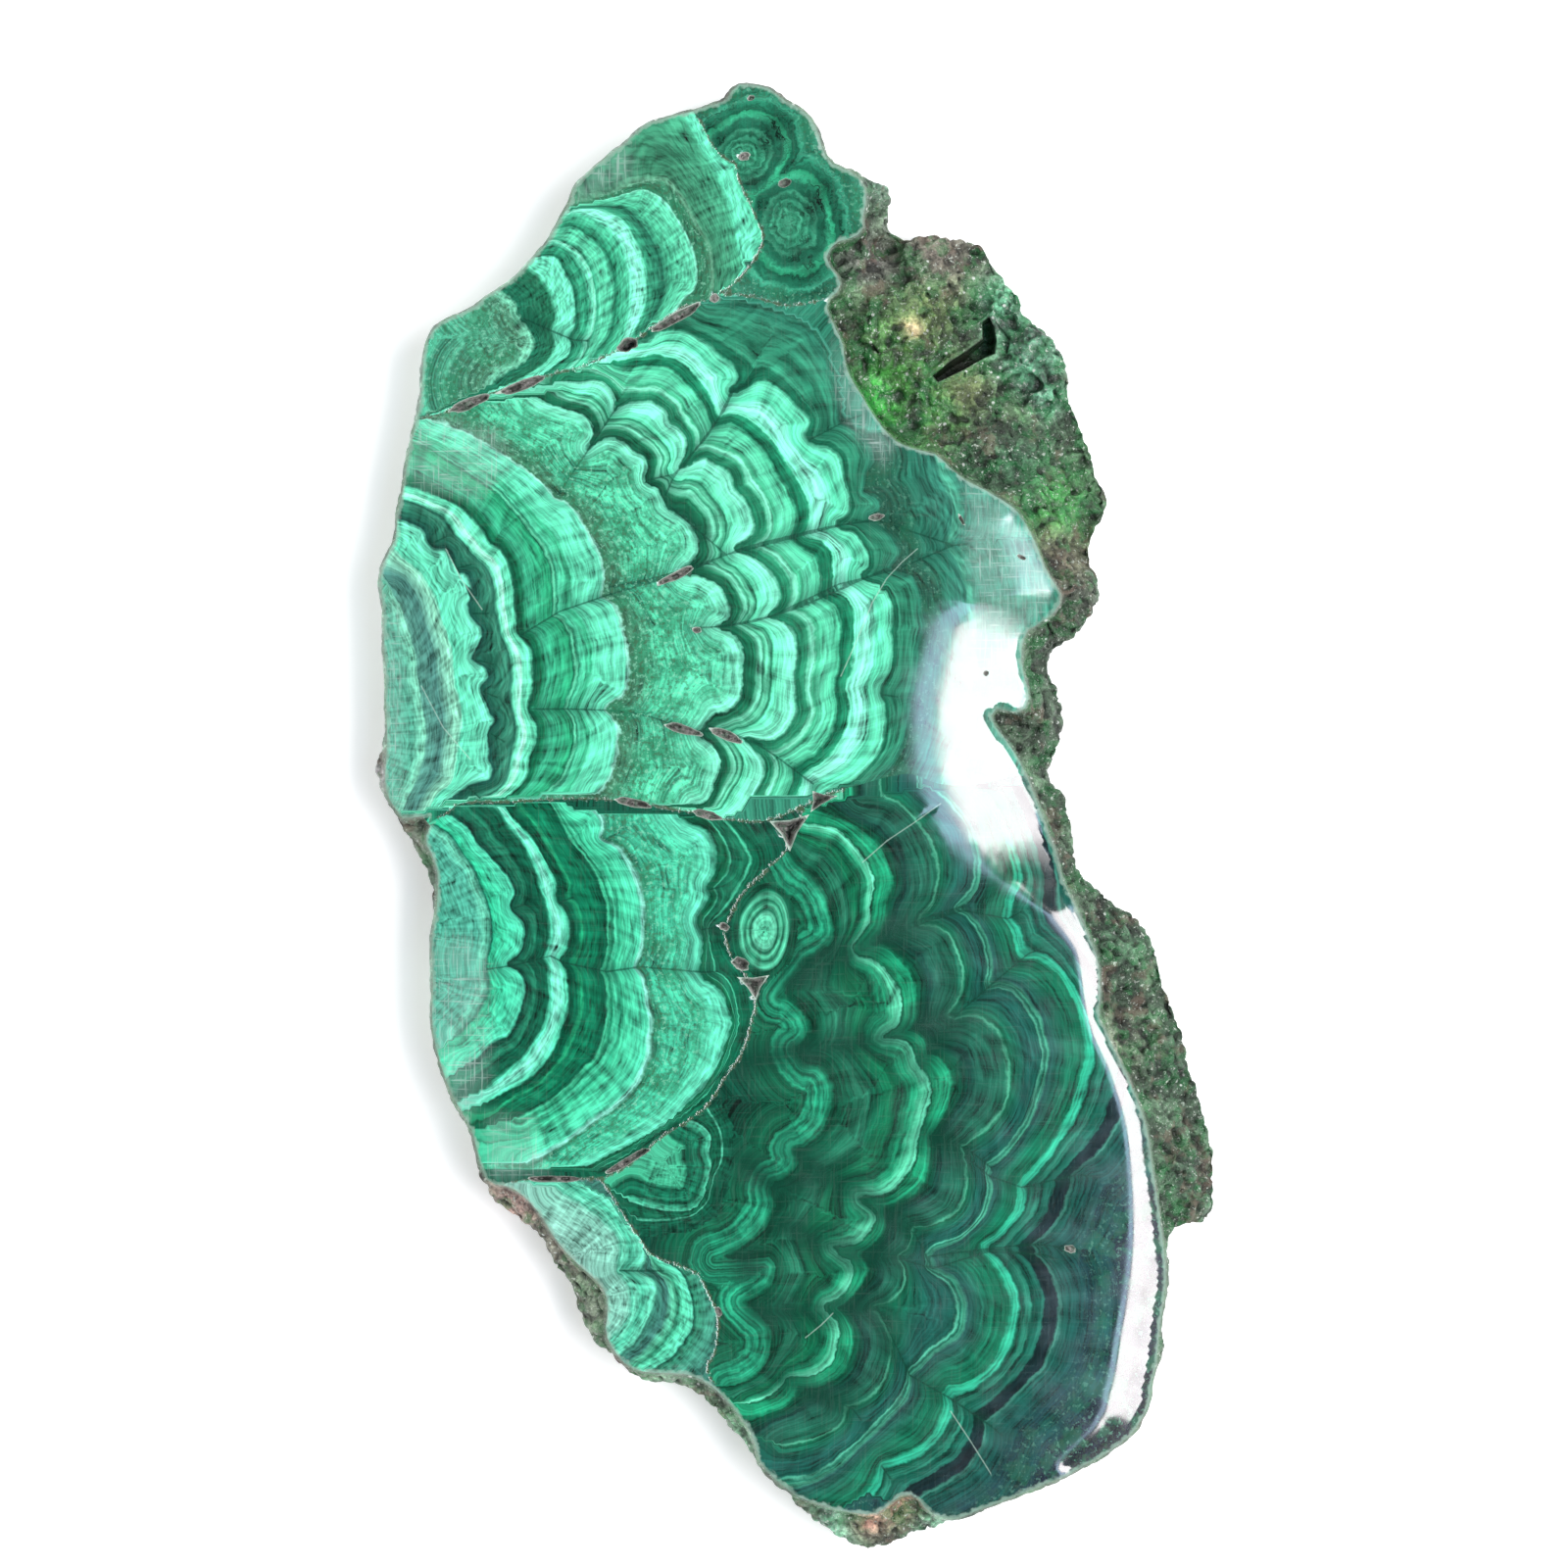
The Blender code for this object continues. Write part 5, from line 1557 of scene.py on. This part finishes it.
    def write_growth(self, mesh: bpy.types.Mesh, points: np.ndarray, first: int, top: np.ndarray) -> None:
        """Writes how far the growth had come onto the corners of the polish.

        Args:
            mesh: the stone's mesh.
            points: its points.
            first: how many faces come before the polish.
            top: the faces of the polish.
        """
        spots = to_pixels(points)
        owner = self.owners(spots[top].mean(1))
        rib = np.full(len(points), FAR_OFF)
        used = np.unique(top)
        rib[used] = gap_to(spots[used], self.ribs, 1.0)
        mesh.attributes.new("rib", "FLOAT", "POINT").data.foreach_set("value", rib.astype(np.float32))
        reach, along, thick = np.zeros((3, first + len(top), 3))
        reach += NO_GROWTH
        for number, growth in enumerate(self.growths):
            faces = np.flatnonzero(owner == number)
            used, back = np.unique(top[faces], return_inverse=True)
            if len(used):
                far, run, grown = growth.measure(spots[used], rib[used])
                if number == Owner.RIGHT:
                    x, y = spots[used].T
                    right, low, beyond = UNDER_SEAM_HOLDS
                    between = np.interp(x, UNDER_SEAM, range(1, len(UNDER_SEAM) + 1))
                    far = np.where((x < right) & (y < low) & (far > beyond), between, far)
                reach[first + faces] = growth.start + far[back].reshape(-1, 3)
                along[first + faces] = run[back].reshape(-1, 3) + number
                thick[first + faces] = grown[back].reshape(-1, 3) + THICK_STEP * number
            LOG.info("%s holds %d faces", growth.name, len(faces))
        for name, values in (("growth", reach), ("along", along), ("grown", thick)):
            mesh.attributes.new(name, "FLOAT", "CORNER").data.foreach_set("value", values.ravel().astype(np.float32))

    def write_masks(self, mesh: bpy.types.Mesh, points: np.ndarray, hollow: np.ndarray, first: int) -> None:
        """Writes where seams, the dulled and sheen-painted polish, hollows (painted dark as shade), the polish's edge
        and the rind's tints are.

        Args:
            mesh: the stone's mesh.
            points: its points.
            hollow: how deep in a hollow each point is.
            first: how many points come before the polish.
        """
        spots = to_pixels(points)
        polished = spots[first:]
        masks = {"seam": np.full(len(points), UNSEEN), "dull_haze_and_sheen": np.zeros(len(points)), "hollow": hollow}
        seam, dull_haze_and_sheen = masks["seam"], masks["dull_haze_and_sheen"]
        seam[first:] = gap_to(polished, list(self.seam_lines.values()), 1.0) * PIXEL / MM
        healed = (polished[:, 0] > HEALED[0]) & (polished[:, 1] > HEALED[1]) & (polished[:, 1] < HEALED[2])
        seam[first:][healed] += UNSEEN
        # Dulled patches: the polish is made rougher there and painted paler, as a painted sheen
        for text in HAZE_AND_SHEEN_AREAS:
            outline = pairs(text)
            gap = nearest_on(polished, outline, True)[0]
            signed = np.where(inside(polished, outline), gap, -gap)
            dull_haze_and_sheen[first:] = np.maximum(dull_haze_and_sheen[first:], smoothstep((signed + 10) / 24))
        masks["edge"] = nearest_on(spots, self.edge_pixels, True)[0] * PIXEL / MM
        masks["scratch"] = np.full(len(points), FAR_OFF)
        masks["scratch"][first:] = gap_to(polished, self.scratches, 1.0)
        tint = np.tile(linear(*RIND_TINT), (len(points), 1))
        for x, y, radius, *rgb in RIND_TINTS:
            share = np.exp(-((np.hypot(spots[:, 0] - x, spots[:, 1] - y) / radius) ** 2)) * 0.9
            tint += (np.array(linear(*rgb)) - tint) * share[:, None]
        for name, values in masks.items():
            mesh.attributes.new(name, "FLOAT", "POINT").data.foreach_set("value", values.astype(np.float32))
        colors = np.column_stack([tint, np.ones(len(tint))]).ravel().astype(np.float32)
        mesh.attributes.new("tint", "FLOAT_COLOR", "POINT").data.foreach_set("color", colors)


@dataclass
class Studio:
    """The pale ground, the soft lights and the camera."""

    ground_size: float = 3.0
    camera_height: float = 0.4262
    wall_light: float = 0.70
    ceiling_light: float = 0.04
    view_middle: tuple[float, float] = (-1.151 * MM, 3.452 * MM)

    def lamp(self, name: str, place: tuple, size: tuple, power: float, color: tuple = (1, 1, 1)) -> None:
        """Hangs a soft light that faces the stone.

        Args:
            name: the light's name.
            place: where it hangs.
            size: its width and height.
            power: in watts.
            color: its colour.
        """
        light = bpy.data.lights.new(name, "AREA")
        light.shape = "RECTANGLE"
        light.size, light.size_y = size
        light.energy = power
        light.color = color
        lamp = bpy.data.objects.new(name, light)
        lamp.location = place
        lamp.rotation_euler = (Vector((0, 0, 0)) - Vector(place)).to_track_quat("-Z", "Y").to_euler()
        bpy.context.scene.collection.objects.link(lamp)

    def room(self) -> None:
        """Surrounds the stone with pale walls under a dark ceiling."""
        world = bpy.data.worlds.new("soft_room")
        world.use_nodes = True
        sketch = Sketch(world.node_tree)
        direction = sketch.node("SeparateXYZ", {0: sketch.node("TexCoord").outputs["Generated"]}).outputs[2]
        wall = sketch.spread(direction, 0.66, 0.86, self.wall_light, self.ceiling_light)
        background = world.node_tree.nodes["Background"]
        background.inputs[0].default_value = (1, 1, 1, 1)
        world.node_tree.links.new(wall, background.inputs[1])
        bpy.context.scene.world = world

    def build(self) -> None:
        """Sets up the ground, the lights, the world and the camera."""
        half = self.ground_size / 2
        mesh = bpy.data.meshes.new("ground")
        mesh.from_pydata([(-half, -half, 0), (half, -half, 0), (half, half, 0), (-half, half, 0)], [], [(0, 1, 2, 3)])
        mesh.materials.append(Paper().material())
        ground = bpy.data.objects.new("ground", mesh)
        bpy.context.scene.collection.objects.link(ground)

        self.room()
        self.lamp("left_panel", (-0.75, 0.35, 0.75), (0.7, 0.9), 1.6)
        self.lamp("top_panel", (-0.1, 0.9, 0.6), (0.9, 0.5), 1.6)
        self.lamp("right_strip", (0.44, -0.03, 0.79), (0.66, 0.34), 7.8, (1.0, 0.955, 0.97))
        self.lamp("cool_strip", (0.215, -0.03, 0.88), (0.5, 0.11), 0.9, (0.55, 0.76, 1.0))

        camera = bpy.data.cameras.new("straight_down")
        camera.lens = 100
        camera.sensor_width = 36
        camera.clip_start = 0.01
        eye = bpy.data.objects.new("straight_down", camera)
        eye.location = (*self.view_middle, TOP + self.camera_height)
        bpy.context.scene.collection.objects.link(eye)
        bpy.context.scene.camera = eye
        bpy.context.scene.view_settings.view_transform = "Standard"


def main() -> None:
    """Builds the stone and the studio."""
    logging.basicConfig(level=logging.INFO, format="%(message)s")
    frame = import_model()
    stone = Slab().build(frame["nodes"]["malachite_slab"])
    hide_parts("malachite_slab")
    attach(stone, "root")
    LOG.info("%s: %d faces", stone.name, len(stone.data.polygons))
    Studio().build()


if __name__ == "__main__":
    main()
